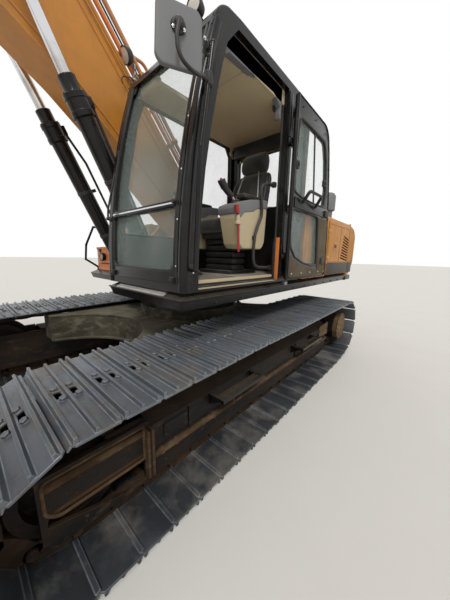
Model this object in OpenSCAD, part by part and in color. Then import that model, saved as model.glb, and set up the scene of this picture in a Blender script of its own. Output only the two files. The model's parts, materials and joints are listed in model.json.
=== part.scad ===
// Crawler excavator of the 22 tonne class with a long undercarriage, a cab on the left,
// a one-piece boom, an arm and a bucket. X points forward, Y to the left, Z up.

/* [Undercarriage] */
// Distance between the middles of the two tracks
gauge = 2390; // [2300:10:2600]
// Distance between the idler and sprocket centres
tumbler_dist = 3650; // [3640:5:3660]
// Track shoes on each side
shoe_count = 49; // [49:1:49]
// Width of a track shoe
shoe_w = 800; // [600:50:900]
// Thickness of a track shoe's plate
shoe_t = 12; // [8:1:16]
// Height of a grouser above the shoe's plate
grouser_h = 26; // [15:1:35]
// Radius of the chain's pins around idler and sprocket
pin_r = 320; // [316:1:322]
// Height of the chain's pins above the outer face of the shoes
pin_depth = 68; // [66:1:72]
// Depth of a chain link inside the pin line
link_depth = 52; // [44:1:56]
// Thickness of one side of a chain link
link_t = 55; // [40:1:60]
// Gap between the two sides of the chain
link_gap = 110; // [100:2:120]
// Outer width of a track frame
frame_w = 350; // [320:10:380]
// Height of a track frame's top face
frame_top = 575; // [560:5:585]
// Plate thickness of a track frame
frame_plate = 20; // [14:1:25]
// Height of the carbody's top plate
carbody_top = 765; // [740:5:780]
// Height of the carbody's underside
carbody_base = 470; // [440:5:500]
// Plate thickness of the carbody
carbody_plate = 25; // [16:1:35]
// Radius of the round recess at each end of the carbody
recess_r = 760; // [700:10:790]
// Radius of a bottom roller's tread
roller_r = 75; // [65:1:80]
// Bottom rollers on each side
roller_count = 9; // [7:1:9]
// Radius of a carrier roller
carrier_r = 60; // [52:1:62]

/* [Swing] */
// Outer radius of the swing bearing
bearing_r = 640; // [600:10:680]
// Height of the swing platform's underside
platform_base = 980; // [975:5:1000]
// Distance from the swing axis to the tail
tail_r = 2930; // [2850:10:3000]

/* [Platform] */
// Height of the deck plate's top
deck_top = 1160; // [1150:2:1170]
// Distance from the swing axis plane to the edge of the skirt
side_y = 1347; // [1340:1:1360]
// Height of the skirt's widest edge
skirt_mid = 1208; // [1200:1:1215]
// Height of the skirt's top
skirt_top = 1250; // [1240:1:1255]
// Front edge of the skirt under the cab
skirt_front = 1205; // [1195:1:1225]
// Height of the roof over the side compartments
house_top = 2030; // [1950:10:2050]

/* [Cab] */
// Front of the cab at its base
cab_front = 1188; // [1180:1:1192]
// Length of the cab at its base
cab_len = 1638; // [1600:2:1660]
// Outer left face of the cab
cab_left_y = 1330; // [1325:1:1332]
// Outer width of the cab
cab_w = 1012; // [1000:1:1016]
// Height of the cab's roof
cab_top = 2965; // [2950:5:3000]
// Wall thickness of the cab
cab_wall = 58; // [50:1:64]
// Thickness of the glass
glass_t = 6; // [5:1:8]
// Width of the front pillars
pillar_w = 119; // [110:1:130]

/* [Boom] */
// Sideways place of the boom's middle plane
boom_y = -110; // [-120:1:-100]
// Height of the boom's foot pin
boom_foot_z = 1860; // [1840:5:1880]
// Length from foot pin to arm pin
boom_len = 5700; // [5600:20:5800]
// Angle of the line through foot pin and arm pin
boom_angle = 30.5; // [29:0.5:32]
// Width of the boom's box
boom_w = 400; // [390:2:410]
// Distance from the foot pin to the lift cylinder's pin
lift_pin_d = 2600; // [2580:5:2620]
// Plate thickness of boom and arm
boom_plate = 16; // [12:1:22]

/* [Arm and bucket] */
// Length of the arm between its pins
arm_len = 2925; // [2850:25:3000]
// Angle of the arm below the horizontal
arm_angle = 97; // [94:0.5:100]
// Width of the arm's box
arm_w = 290; // [280:2:291]
// Distance from the bucket pin to the teeth
bucket_reach = 1450; // [1400:10:1500]
// Outer width of the bucket
bucket_w = 1180; // [1000:20:1300]
// Angle of the teeth above the horizontal, seen from the bucket pin
bucket_angle = 15; // [10:1:20]

/* [Cylinders] */
// Outer radius of a lift cylinder's barrel
lift_r = 72; // [66:1:75]
// Length of a lift cylinder's barrel from its foot pin
lift_barrel = 1640; // [1600:10:1660]
// Radius of a lift cylinder's rod
lift_rod_r = 42; // [38:1:48]
// Outer radius of the arm cylinder's barrel
crowd_r = 78; // [72:1:84]
// Length of the arm cylinder's barrel from its foot pin
crowd_barrel = 2000; // [1950:10:2050]
// Outer radius of the bucket cylinder's barrel
curl_r = 68; // [62:1:74]
// Length of the bucket cylinder's barrel from its foot pin
curl_barrel = 1600; // [1550:10:1650]
// Radius clearance of a pin or a rod in its bore
fit_gap = 0.3; // [0.2:0.05:0.5]
// Side clearance between an eye and its ears
eye_gap = 0.5; // [0.3:0.1:0.8]

/* [Hidden] */
$fn = 64;

yellow = [0.86, 0.52, 0.09];
black = [0.07, 0.07, 0.08];
dark_grey = [0.2, 0.2, 0.2];
worn_steel = [0.55, 0.55, 0.54];
chrome = [0.8, 0.8, 0.82];
dust = [0.42, 0.4, 0.34];
glass_tint = [0.6, 0.75, 0.8, 0.35];

function flat(v, a) = [v * cos(a), v * sin(a)];
function turn(p, a) = [p[0] * cos(a) - p[1] * sin(a), p[0] * sin(a) + p[1] * cos(a)];
function outward(a, b) = let (d = b - a) [d[1], -d[0]] / norm(d);
// Where two circles meet, on the left of the line from a to b
function meet(a, b, ra, rb) =
    let (d = b - a, n = norm(d), t = (ra * ra - rb * rb + n * n) / (2 * n), h = sqrt(ra * ra - t * t))
    a + d / n * t + [-d[1], d[0]] / n * h;
// A closed outline moved inwards by t, its points running anticlockwise
function inset(p, t) = [for (i = [0 : len(p) - 1])
    let (n = len(p), b = p[i], n0 = outward(p[(i + n - 1) % n], b), n1 = outward(b, p[(i + 1) % n]))
    b - (n0 + n1) * t / (1 + n0 * n1)];
function arc_pts(cx, cz, r, a0, a1, n) = [for (i = [0 : n])
    let (a = a0 + (a1 - a0) * i / n) [cx + r * cos(a), cz + r * sin(a)]];

// Places the whole machine so that its length is centred on the origin
ear_corner = [220, 640];
front_reach = boom_len * cos(boom_angle) + turn(ear_corner, -arm_angle)[0];
swing_x = (tail_r - front_reach) / 2;
track_y = gauge / 2;

// Chain line
plate_out = pin_depth;
ground_pin_z = pin_depth + grouser_h;
idler_x = tumbler_dist / 2 + 25;
sprocket_x = idler_x - tumbler_dist;
idler_z = ground_pin_z + pin_r + 13;
sprocket_z = ground_pin_z + pin_r + 38;
carrier_x = 680;
top_pin_z = idler_z + pin_r + 20;
contact_x = 1430;
chain_line = concat(
    arc_pts(idler_x, idler_z, pin_r, -90, 90, 18),
    [[carrier_x, top_pin_z], [0, top_pin_z - 5], [-carrier_x, top_pin_z]],
    arc_pts(sprocket_x, sprocket_z, pin_r, 90, 270, 18),
    [[-contact_x, ground_pin_z], [contact_x, ground_pin_z]]);
chain_n = len(chain_line);
function chain_seg(i) = norm(chain_line[(i + 1) % chain_n] - chain_line[i % chain_n]);
chain_at = [for (i = 0, s = 0; i <= chain_n; s = s + chain_seg(i), i = i + 1) s];
chain_x = [for (i = [0 : chain_n]) [chain_at[i], chain_line[i % chain_n][0]]];
chain_z = [for (i = [0 : chain_n]) [chain_at[i], chain_line[i % chain_n][1]]];
pitch = chain_at[chain_n] / shoe_count;
pins = [for (k = [0 : shoe_count - 1]) [lookup(k * pitch, chain_x), lookup(k * pitch, chain_z)]];
// Distances of the three grousers from the shoe's front pin, and half their foot and tip widths
grouser_u = [17, 95, 173];
grouser_foot = 12;
grouser_tip = 6;
function shoe_pts(k) =
    let (a = pins[k], b = pins[(k + 1) % shoe_count], d = (b - a) / norm(b - a), n = outward(a, b),
        v0 = plate_out, v1 = plate_out + grouser_h)
    [for (c = grouser_u, q = [[-grouser_foot, v0], [-grouser_tip, v1], [grouser_tip, v1], [grouser_foot, v0]])
        a + d * (c + q[0]) + n * q[1]];
shoe_outline = [for (k = [0 : shoe_count - 1]) each shoe_pts(k)];
// The chain bends only at some pins, and only those shape the inner outlines
bent_pins = [for (k = [0 : shoe_count - 1])
    let (a = pins[(k + shoe_count - 1) % shoe_count], b = pins[k], c = pins[(k + 1) % shoe_count])
    if (abs(cross(outward(a, b), outward(b, c))) > 0.0005) b];
plate_in_outline = inset(bent_pins, shoe_t - plate_out);
link_in_outline = inset(bent_pins, link_depth);

// Track frame
frame_rear = -1430;
frame_front = 1480;
cheek_front = idler_x + 150;
frame_shoulder = 55;
yoke_h = 50;
cheek_t = 22;
cheek_low = 175;
roller_z = ground_pin_z + link_depth + roller_r + 0.3;
roller_span = 2 * contact_x - 60;
carrier_z = top_pin_z - link_depth - carrier_r - 3;
idler_tread = 248;
idler_axle_r = 45;
drive_r = 232;
drive_cap_r = 205;
drive_out = 285;
recess_front = 815;
tie_reach = 96;
tie_t = 40;
leg_x = 1440;

// Swing bearing
bearing_in = 560;
bearing_gap = 5;
drum_top = carbody_top + 115;

// Upper structure, measured from the swing axis
deck_t = 20;
skirt_low = 1138;
skirt_depth = 95;
cab_base = skirt_top;
cab_rear_x = cab_front - cab_len;
cab_right_y = cab_left_y - cab_w;
cab_floor_t = 60;
rake_r = 4865;
front_z1 = cab_top - 115;
function front_x(z) = cab_front - (z - cab_base) * (z - cab_base) / (2 * rake_r);
front_levels = [for (i = [0 : 6]) cab_base + (front_z1 - cab_base) * i / 6];
// Side outline of the cab, moved inwards by t
function cab_outline(t) = concat(
    [[cab_rear_x + t, cab_base], [front_x(cab_base) - t, cab_base]],
    [for (i = [1 : 6]) [front_x(front_levels[i]) - t, front_levels[i]]],
    arc_pts(front_x(front_z1) - t - 150, front_z1 - 40, 150, 15, 75, 3),
    [[front_x(front_z1) - 230, cab_top - t], [cab_rear_x + 220, cab_top - t],
     [cab_rear_x + t + 60, cab_top - t - 60], [cab_rear_x + t, cab_top - t - 230]]);
waist_z = 1800;
glass_low = 1390;
sill_z = cab_base + cab_floor_t;

// Cab door, in its closed place
hinge_x = 8;
hinge_y = cab_left_y + 22;
door_t = 42;
door_gap = 6;
door_rear = 25;
door_low = cab_base + 25;
door_high = cab_top - 68;
// Outline of the door made larger by g
function door_outline(g) = concat(
    [[door_rear - g, door_low - g], [front_x(door_low) - pillar_w - 12 + g, door_low - g]],
    [for (z = [door_low + 200 : 270 : door_high - 200]) [front_x(z) - pillar_w - 12 + g, z]],
    [[front_x(door_high - 120) - pillar_w - 12 + g, door_high - 120],
     [front_x(door_high) - pillar_w - 70, door_high + g], [door_rear - g, door_high + g]]);
door_upper_win = [[130, 2100], [front_x(2100) - pillar_w - 110, 2100],
    [front_x(2600) - pillar_w - 110, 2600], [front_x(2720) - pillar_w - 150, 2730], [150, 2730]];
door_lower_win = [[330, 1400], [720, 1400], [745, 1930], [85, 1930], [85, 1720], [140, 1520]];

// Boom and its cylinders
foot = [0, boom_foot_z];
lift_foot = [679, 1290];
lift_pin_angle = 15;
bracket_t = 45;
bracket_in = boom_w / 2 + 17;
bracket_out = bracket_in + bracket_t;
lift_y = bracket_out + 4 + lift_r;
lift_eye_w = 110;
foot_pin_r = 50;
foot_boss_r = 175;
tip_boss_r = 150;
lift_boss_r = 115;
pin_radius = 40;
lift_pin = flat(lift_pin_d, lift_pin_angle);
boom_tip = [boom_len, 0];
crowd_foot = [3000, 1100];
// Top line of the boom from the foot to its bend
boom_back = [[-40, 170], [2200, 950], [2480, 1005], [2720, 985]];
// Side outline of the boom from the foot, along the belly to the tip and back over the top
boom_outline = concat(
    [[40, -170], [700, -20], [1291, 111], [1700, 185], [2080, 212], [2600, 190],
     [boom_len - 140, -145], [boom_len, -150], [boom_len + 60, 135], [2950, 925]],
    [for (i = [len(boom_back) - 1 : -1 : 0]) boom_back[i]],
    [[-172, 30], [-110, -135]]);
boom_fork = 600;
arm_pin_r = 45;

// Arm and its linkage, from the arm pin
arm_abs = -arm_angle;
arm_rel = arm_abs - boom_angle;
crowd_pin = turn([-768, 135], arm_rel) + boom_tip;
arm_outline = [
    [-860, 60], [-620, -70], [-200, -215], [250, -225], [arm_len - 100, -140], [arm_len + 90, -105],
    [arm_len + 90, 105], [arm_len - 60, 150], [2350, 235], [600, 430], [150, 450], [-350, 345],
    [-700, 260], [-870, 215]];
arm_boss_r = 150;
arm_nose_r = 140;
curl_foot = [250, 560];
rocker_foot = [arm_len - 420, 60];
rocker_len = 620;
link_len = 600;
bucket_pin_d = 445;
bucket_pin = [arm_len, 0];
bucket_rel = 180 - bucket_angle - arm_abs;
link_pin = bucket_pin + flat(bucket_pin_d, bucket_rel + 105);
rocker_pin = meet(rocker_foot, link_pin, rocker_len, link_len);
rocker_t = 30;
link_eye_w = 108;
link_slot = 240;

// Outline of a waisted link with a round end of radius rp at p and rq at q
function link_outline(p, q, rp, rq) = let (a = atan2(q[1] - p[1], q[0] - p[0]))
    concat(arc_pts(p[0], p[1], rp, a + 40, a + 320, 13), arc_pts(q[0], q[1], rq, a - 140, a + 140, 13));

module at_swing() translate([swing_x, 0, 0]) children();
module both_sides() {
    children();
    mirror([0, 1, 0]) children();
}
// A side outline in X and Z made w wide, its middle at y
module slab(y, w) translate([0, y + w / 2, 0]) rotate([90, 0, 0]) linear_extrude(w) children();
// A round bar or bore along Y through the point p in X and Z
module bar(p, r, y, w) translate([p[0], y + w / 2, p[1]]) rotate([90, 0, 0]) cylinder(r = r, h = w);
// A box from one corner to the opposite one
module block(a, b) translate(a) cube(b - a);
// Puts the boom's own frame at its foot pin
module in_boom() at_swing() translate([foot[0], boom_y, foot[1]]) rotate([0, -boom_angle, 0]) children();
// Puts the arm's own frame at the arm pin
module in_arm() in_boom() translate([boom_tip[0], 0, boom_tip[1]]) rotate([0, -arm_rel, 0]) children();
// Puts the bucket's own frame at the bucket pin, X towards the teeth
module in_bucket() in_arm() translate([bucket_pin[0], 0, bucket_pin[1]]) rotate([0, -bucket_rel, 0]) children();
// Turns the X axis from point a towards point b and puts the origin at a
module along(a, b) translate([a[0], 0, a[1]])
    rotate([0, -atan2(b[1] - a[1], b[0] - a[0]), 0]) children();

module track_loop() {
    slab(0, shoe_w) difference() {
        polygon(shoe_outline);
        polygon(plate_in_outline);
    }
    for (s = [-1, 1]) slab(s * (link_gap + link_t) / 2, link_t) difference() {
        polygon(plate_in_outline);
        polygon(link_in_outline);
    }
}

module track_left() color(worn_steel) at_swing() translate([0, track_y, 0]) track_loop();
module track_right() color(worn_steel) at_swing() translate([0, -track_y, 0]) track_loop();

// Track frame about its own middle plane, with +Y outwards
frame_low = 330;
window_rim = 25;
module track_frame() {
    w = frame_w / 2;
    box_outline = [[-w, frame_low], [w, frame_low], [w, frame_top - frame_shoulder], [w - 90, frame_top], [-w, frame_top]];
    translate([frame_rear, 0, 0]) rotate([90, 0, 90]) linear_extrude(frame_front - frame_rear) difference() {
        polygon(box_outline);
        polygon(inset(box_outline, frame_plate));
    }
    for (s = [-1, 1]) {
        block([frame_rear, s > 0 ? w - cheek_t : -w, cheek_low], [frame_front, s > 0 ? w : cheek_t - w, frame_low]);
        slab(s * (w - cheek_t / 2), cheek_t) difference() {
            polygon([[frame_front, cheek_low], [cheek_front - 65, cheek_low + 7], [cheek_front - 7, 231],
                [cheek_front, frame_top - 15], [frame_front, frame_top - 15]]);
            if (s > 0) {
                polygon([[frame_front + window_rim, cheek_low + 20], [frame_front + window_rim, idler_z - yoke_h],
                    [cheek_front - 40, idler_z - yoke_h], [cheek_front - 25, 308], [cheek_front - 200, 251],
                    [frame_front + 140, cheek_low + 20]]);
                polygon([[frame_front + window_rim, idler_z + yoke_h], [cheek_front - 20, idler_z + yoke_h],
                    [cheek_front - 20, frame_top - 35], [frame_front + window_rim, frame_top - 35]]);
            }
        }
    }
    block([frame_front - 15, w, 216], [frame_front + 10, w + 40, frame_top - frame_shoulder]);
    block([frame_rear, w, frame_low - 10], [frame_front, w + 30, frame_low + 10]);
    difference() {
        union() {
            block([sprocket_x, -w, 300], [frame_rear, cheek_t - w, frame_top]);
            bar([sprocket_x, sprocket_z], drive_r + 30, cheek_t / 2 - w, cheek_t);
        }
        bar([sprocket_x, sprocket_z], 150, cheek_t / 2 - w, cheek_t + 2);
    }
    for (x = [-carrier_x, carrier_x]) {
        block([x - 55, -w, frame_top], [x + 55, 30 - w, carrier_z + 50]);
        bar([x, carrier_z], 28, -w + 45, 32);
    }
}

module track_frame_left() color(dark_grey) at_swing() translate([0, track_y, 0]) track_frame();
module track_frame_right() color(dark_grey) at_swing() mirror([0, 1, 0]) translate([0, track_y, 0]) track_frame();

module idlers() color(dark_grey) at_swing() both_sides() translate([idler_x, track_y, idler_z])
    rotate([90, 0, 0]) rotate_extrude($fn = 96) polygon([
        [0, -frame_w / 2 + cheek_t], [idler_axle_r, -frame_w / 2 + cheek_t], [idler_axle_r, -120],
        [105, -120], [105, -60], [200, -40], [200, -110], [idler_tread, -110],
        [idler_tread, -link_gap / 2 + 6], [idler_tread + 48, -link_gap / 2 + 12],
        [idler_tread + 48, link_gap / 2 - 12], [idler_tread, link_gap / 2 - 6], [idler_tread, 110],
        [200, 110], [200, 40], [105, 60], [105, 120], [idler_axle_r, 120],
        [idler_axle_r, frame_w / 2 - cheek_t], [0, frame_w / 2 - cheek_t]]);

tooth_count = 21;
sprocket_teeth = [for (i = [0 : tooth_count - 1], q = [[298, -6], [334, -2.4], [334, 2.4], [298, 6]])
    flat(q[0], i * 360 / tooth_count + q[1])];
module sprockets() color(dark_grey) at_swing() both_sides() translate([0, track_y, 0]) {
    translate([sprocket_x, 35, sprocket_z]) rotate([90, 0, 0]) linear_extrude(70) polygon(sprocket_teeth);
    bar([sprocket_x, sprocket_z], drive_r, (cheek_t - frame_w / 2 + 120) / 2, 120 - cheek_t + frame_w / 2);
    bar([sprocket_x, sprocket_z], drive_cap_r, drive_out / 2, drive_out);
}

module bottom_roller() rotate([90, 0, 0]) rotate_extrude() polygon([
    [0, -frame_w / 2 + cheek_t], [30, -frame_w / 2 + cheek_t], [30, -135], [roller_r + 18, -135],
    [roller_r + 18, -116], [roller_r, -112], [roller_r, -50], [50, -40], [50, 40], [roller_r, 50],
    [roller_r, 112], [roller_r + 18, 116], [roller_r + 18, 135], [30, 135], [30, frame_w / 2 - cheek_t],
    [0, frame_w / 2 - cheek_t]]);
module rollers() color(dark_grey) at_swing() both_sides() translate([0, track_y, 0]) {
    for (i = [0 : roller_count - 1])
        translate([(i / (roller_count - 1) - 0.5) * (roller_span - 200), 0, roller_z]) bottom_roller();
    for (x = [-carrier_x, carrier_x]) difference() {
        bar([x, carrier_z], carrier_r, 0, 230);
        bar([x, carrier_z], 28 + fit_gap, 45 - frame_w / 2, 32);
    }
}

// Steps: front loop and rear loop on each track frame
step_places = [[480, 1000], [-850, -300]];
step_z = 490;
step_bar = 25;
module steps() color(black) at_swing() both_sides() translate([0, track_y + frame_w / 2, 0])
    for (p = step_places) {
        block([p[0], 0, step_z], [p[0] + 30, 120, step_z + step_bar]);
        block([p[1] - 30, 0, step_z], [p[1], 120, step_z + step_bar]);
        block([p[0], 120, step_z], [p[1], 150, step_z + step_bar]);
    }

module carbody_plan(m) difference() {
    square([2 * (leg_x - m), 2 * (track_y - frame_w / 2)], center = true);
    for (s = [-1, 1]) translate([s * (recess_front + recess_r), 0]) circle(r = recess_r + m, $fn = 96);
}
module carbody() color(dust) at_swing() difference() {
    union() {
        difference() {
            translate([0, 0, carbody_base]) linear_extrude(carbody_top - carbody_base) carbody_plan(0);
            translate([0, 0, carbody_base + carbody_plate])
                linear_extrude(carbody_top - carbody_base - 2 * carbody_plate)
                intersection() {
                    carbody_plan(carbody_plate);
                    square([2 * leg_x, 2 * (track_y - frame_w / 2 - carbody_plate)], center = true);
                }
        }
        translate([0, 0, carbody_top]) cylinder(r = bearing_r, h = drum_top - carbody_top, $fn = 96);
        translate([0, 0, drum_top]) cylinder(r = bearing_in, h = platform_base - 10 - drum_top, $fn = 96);
        for (s = [-1, 1]) block([s > 0 ? recess_front - 60 : -recess_front - tie_reach, -60, carbody_base],
            [s > 0 ? recess_front + tie_reach : 60 - recess_front, 60, carbody_base + tie_t]);
    }
    translate([0, 0, carbody_base - 1]) cylinder(r = 330, h = 600);
    translate([0, 0, carbody_top - 40]) cylinder(r = 480, h = 400, $fn = 96);
    for (s = [-1, 1]) translate([s * (recess_front + tie_reach / 2), 0, carbody_base - 1]) cylinder(r = 26, h = tie_t + 2);
}

// A profile of [outward, z] points swept along a plan path with mitred corners
module mitre_sweep(path, profile) {
    n = len(path);
    m = len(profile);
    pts = [for (i = [0 : n - 1])
        let (n0 = outward(path[max(i - 1, 0)], path[max(i, 1)]),
            n1 = outward(path[min(i, n - 2)], path[min(i + 1, n - 1)]),
            w = (n0 + n1) / (1 + n0 * n1))
        each [for (q = profile) [path[i][0] + w[0] * q[0], path[i][1] + w[1] * q[0], q[1]]]];
    sides = [for (i = [0 : n - 2], j = [0 : m - 1])
        [(i + 1) * m + j, (i + 1) * m + (j + 1) % m, i * m + (j + 1) % m, i * m + j]];
    polyhedron(pts, concat([[for (j = [0 : m - 1]) j]], sides, [[for (j = [m - 1 : -1 : 0]) (n - 1) * m + j]]));
}
skirt_profile = [[0, skirt_mid], [-22, skirt_low], [-skirt_depth, skirt_low], [-skirt_depth, skirt_top],
    [-70, skirt_top]];
toolbox_front = 690;
right_front = toolbox_front + 70;
cw_front = -2270;
deck_front = 720;
skirt_right_y = cab_right_y + 12;
step_y = 600;
module platform() color(black) at_swing() {
    difference() {
        translate([0, 0, platform_base]) cylinder(r = bearing_r, h = 30, $fn = 96);
        translate([0, 0, platform_base - 1]) cylinder(r = 300, h = 40);
    }
    difference() {
        translate([0, 0, drum_top + bearing_gap]) cylinder(r = bearing_r, h = platform_base - drum_top - bearing_gap,
            $fn = 96);
        translate([0, 0, drum_top]) cylinder(r = bearing_in + eye_gap, h = 200, $fn = 96);
    }
    block([cw_front, -520, platform_base + 30], [deck_front, 520, platform_base + 55]);
    for (y = [-500, 460]) block([cw_front, y, platform_base + 55], [deck_front, y + 40, deck_top - deck_t]);
    difference() {
        translate([0, 0, deck_top - deck_t]) linear_extrude(deck_t) polygon([
            [cw_front, -side_y + skirt_depth], [right_front - skirt_depth, -side_y + skirt_depth],
            [right_front - skirt_depth, -step_y], [deck_front, -step_y], [deck_front, skirt_right_y + skirt_depth],
            [skirt_front - skirt_depth, skirt_right_y + skirt_depth],
            [skirt_front - skirt_depth, side_y - skirt_depth], [cw_front, side_y - skirt_depth]]);
        translate([0, 0, deck_top - 50]) cylinder(r = 300, h = 100);
    }
    mitre_sweep([[deck_front, skirt_right_y], [skirt_front, skirt_right_y], [skirt_front, side_y],
        [cw_front, side_y]], skirt_profile);
    mitre_sweep([[cw_front, -side_y], [right_front, -side_y], [right_front, -step_y], [deck_front, -step_y]],
        skirt_profile);
    for (x = [cab_rear_x + 60, 900], y = [cab_right_y + 120, cab_left_y - 200])
        block([x, y, deck_top], [x + 120, y + 100, cab_base]);
}

bracket_rear = cab_rear_x + 30;
bracket_outline = concat(
    [[bracket_rear, deck_top], [deck_front - 20, deck_top]],
    arc_pts(lift_foot[0], lift_foot[1], 105, -50, 80, 5),
    arc_pts(foot[0], foot[1], 165, 20, 160, 6),
    [[-300, 1500], [bracket_rear, 1300]]);
module boom_bracket() color(yellow) at_swing() translate([0, boom_y, 0]) {
    for (s = [-1, 1]) slab(s * (bracket_in + bracket_t / 2), bracket_t) polygon(bracket_outline);
    bar(foot, foot_pin_r, 0, 2 * bracket_in);
    for (s = [-1, 1]) {
        bar(foot, 85, s * (bracket_out + 12), 24);
        bar(lift_foot, pin_radius, s * (bracket_out + lift_y + lift_eye_w / 2) / 2,
            lift_y + lift_eye_w / 2 - bracket_out);
        bar(lift_foot, 52, s * (lift_y + lift_eye_w / 2 + 5.5), 10);
    }
    block([450, -bracket_in, deck_top], [500, bracket_in, deck_top + 160]);
    block([bracket_rear, -bracket_in, deck_top], [bracket_rear + 40, bracket_in, 1300]);
}

module cab_floor() color(black) at_swing() difference() {
    block([cab_rear_x, cab_right_y, cab_base], [front_x(cab_base) - 4, cab_left_y, sill_z]);
    slab(cab_left_y, 2 * (door_t + door_gap)) polygon(door_outline(door_gap));
}
module cab_side(y) difference() {
    slab(y, cab_wall) polygon(cab_outline(0));
    block([cab_rear_x - 1, y - cab_wall, cab_base - 1], [cab_front + 1, y + cab_wall, sill_z]);
}
quarter_win = [[cab_rear_x + 75, waist_z + 60], [-85, waist_z + 60], [-85, 2780], [cab_rear_x + 130, 2780],
    [cab_rear_x + 75, 2700]];
right_win = [[cab_rear_x + 90, 1660], [front_x(1660) - 110, 1660], [front_x(2000) - 110, 2000],
    [front_x(2600) - 110, 2600], [front_x(2780) - 130, 2790], [cab_rear_x + 150, 2790], [cab_rear_x + 90, 2700]];
module cab_left() color(black) at_swing() {
    difference() {
        cab_side(cab_left_y - cab_wall / 2);
        slab(cab_left_y - cab_wall / 2, cab_wall + 2) polygon(door_outline(door_gap));
        slab(cab_left_y - cab_wall / 2, cab_wall + 2) polygon(quarter_win);
    }
    for (z = [1500, 2500]) {
        for (dz = [-32, 20]) block([hinge_x - 46, cab_left_y, z + dz], [hinge_x + 12, hinge_y + 12, z + dz + 12]);
        translate([hinge_x, hinge_y, z - 20]) cylinder(r = 8, h = 40);
    }
}
module cab_right() color(black) at_swing() difference() {
    cab_side(cab_right_y + cab_wall / 2);
    slab(cab_right_y + cab_wall / 2, cab_wall + 2) polygon(right_win);
}
inner_y = (cab_left_y + cab_right_y) / 2;
inner_w = cab_w - 2 * cab_wall;
module cab_skin() slab(inner_y, inner_w) difference() {
    polygon(cab_outline(0));
    polygon(cab_outline(cab_wall));
}
roof_split = cab_top - 200;
seal = 0.5;
module cab_front() color(black) at_swing() difference() {
    cab_skin();
    block([-2000, 0, cab_base - 1], [200, 2000, 4000]);
    block([0, 0, cab_base - 1], [cab_front + 1, 2000, sill_z]);
    block([0, 0, roof_split], [cab_front + 1, 2000, 4000]);
    block([800, cab_right_y + 95, glass_low], [cab_front + 9, cab_left_y - 95, waist_z - 18]);
    block([600, cab_right_y + 95, waist_z + 18], [cab_front + 9, cab_left_y - 95, roof_split + 1]);
}
module cab_rear() color(black) at_swing() difference() {
    cab_skin();
    block([cab_rear_x + 90, 0, cab_base - 1], [cab_front + 1, 2000, 4000]);
    block([cab_rear_x - 1, 0, cab_base - 1], [0, 2000, sill_z]);
    block([cab_rear_x - 1, 0, roof_split], [0, 2000, 4000]);
    block([cab_rear_x - 1, cab_right_y + 130, 2050], [0, cab_left_y - 130, 2650]);
}
module cab_roof() color(dark_grey) at_swing() intersection() {
    cab_skin();
    block([cab_rear_x, 0, roof_split], [cab_front, 2000, 4000]);
}
module cab_glass() color(glass_tint) at_swing() {
    difference() {
        slab(inner_y, cab_w - 2 * (95 + seal)) difference() {
            polygon(cab_outline(20));
            polygon(cab_outline(20 + glass_t));
        }
        block([-2000, 0, 0], [500, 2000, 4000]);
        block([0, 0, 0], [2000, 2000, glass_low + seal]);
        block([0, 0, waist_z - 18 - seal], [2000, 2000, waist_z + 18 + seal]);
        block([0, 0, roof_split - seal], [2000, 2000, 4000]);
    }
    slab(cab_right_y + cab_wall / 2, glass_t) polygon(inset(right_win, seal));
    slab(cab_left_y - cab_wall / 2, glass_t) polygon(inset(quarter_win, seal));
    block([cab_rear_x + 25, cab_right_y + 130 + seal, 2050 + seal],
        [cab_rear_x + 25 + glass_t, cab_left_y - 130 - seal, 2650 - seal]);
}

seat_x = cab_rear_x + 370;
seat_y = inner_y;
module seat() color(black) at_swing() translate([seat_x, seat_y, sill_z]) {
    block([0, -240, 430], [480, 240, 530]);
    translate([10, 0, 531]) rotate([0, -12, 0]) block([-110, -235, 0], [0, 235, 560]);
    translate([-115, 0, 1085]) rotate([0, -10, 0]) {
        block([-90, -140, 10], [0, 140, 200]);
        for (y = [-60, 60]) translate([-45, y, -60]) cylinder(r = 7, h = 90);
    }
}
console_h = 590;
module consoles() color([0.68, 0.63, 0.52]) at_swing() translate([seat_x, seat_y, sill_z]) {
    block([40, -200, 0], [440, 200, 260]);
    block([80, -170, 260], [400, 170, 429.7]);
    both_sides() {
        block([60, 200, 60], [320, 262, 330]);
        block([200, 262, 240], [760, 400, console_h]);
    }
}
module levers() color(black) at_swing() translate([seat_x, seat_y, sill_z]) {
    for (s = [-1, 1]) {
        translate([660, s * 320, console_h]) cylinder(r = 12, h = 70);
        translate([660, s * 320, console_h + 70]) cylinder(r = 24, h = 105);
        translate([760, s * 60, 0]) cylinder(r = 10, h = 560);
        block([690, s * 110 - 45, 0], [900, s * 110 + 45, 40]);
    }
    translate([560, 409.5, 250]) cylinder(r = 9, h = 330);
}

// Round tube along a path of points
module tube(path, r) for (i = [0 : len(path) - 2]) {
    a = path[i];
    b = path[i + 1];
    d = b - a;
    translate(a) rotate([0, acos(d[2] / norm(d)), atan2(d[1], d[0])]) cylinder(r = r, h = norm(d), $fn = 24);
    if (i > 0) translate(a) sphere(r = 1.12 * r, $fn = 24);
}
rail_r = 14;
rail_y = cab_left_y + 48;
module handrails() color(black) at_swing() {
    tube([[1130, cab_left_y, 1400], [1130, rail_y, 1400], [1090, rail_y, 2100], [1000, rail_y, 2650],
        [1000, cab_left_y, 2650]], rail_r);
    right_y = -side_y + skirt_depth - rail_r;
    rail_x = right_front - skirt_depth + rail_r;
    tube([[rail_x, right_y, skirt_top + 0.3], [rail_x, right_y, skirt_top + 40], [toolbox_front + 150, right_y, 1400],
        [toolbox_front + 130, right_y, 1600], [toolbox_front + 20, right_y, 1850],
        [toolbox_front - 300, right_y, 1860], [toolbox_front - 300, right_y, skirt_top + 0.3]], rail_r);
}
mirror_arm_z = 2400;
mirror_x = 1290;
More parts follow.
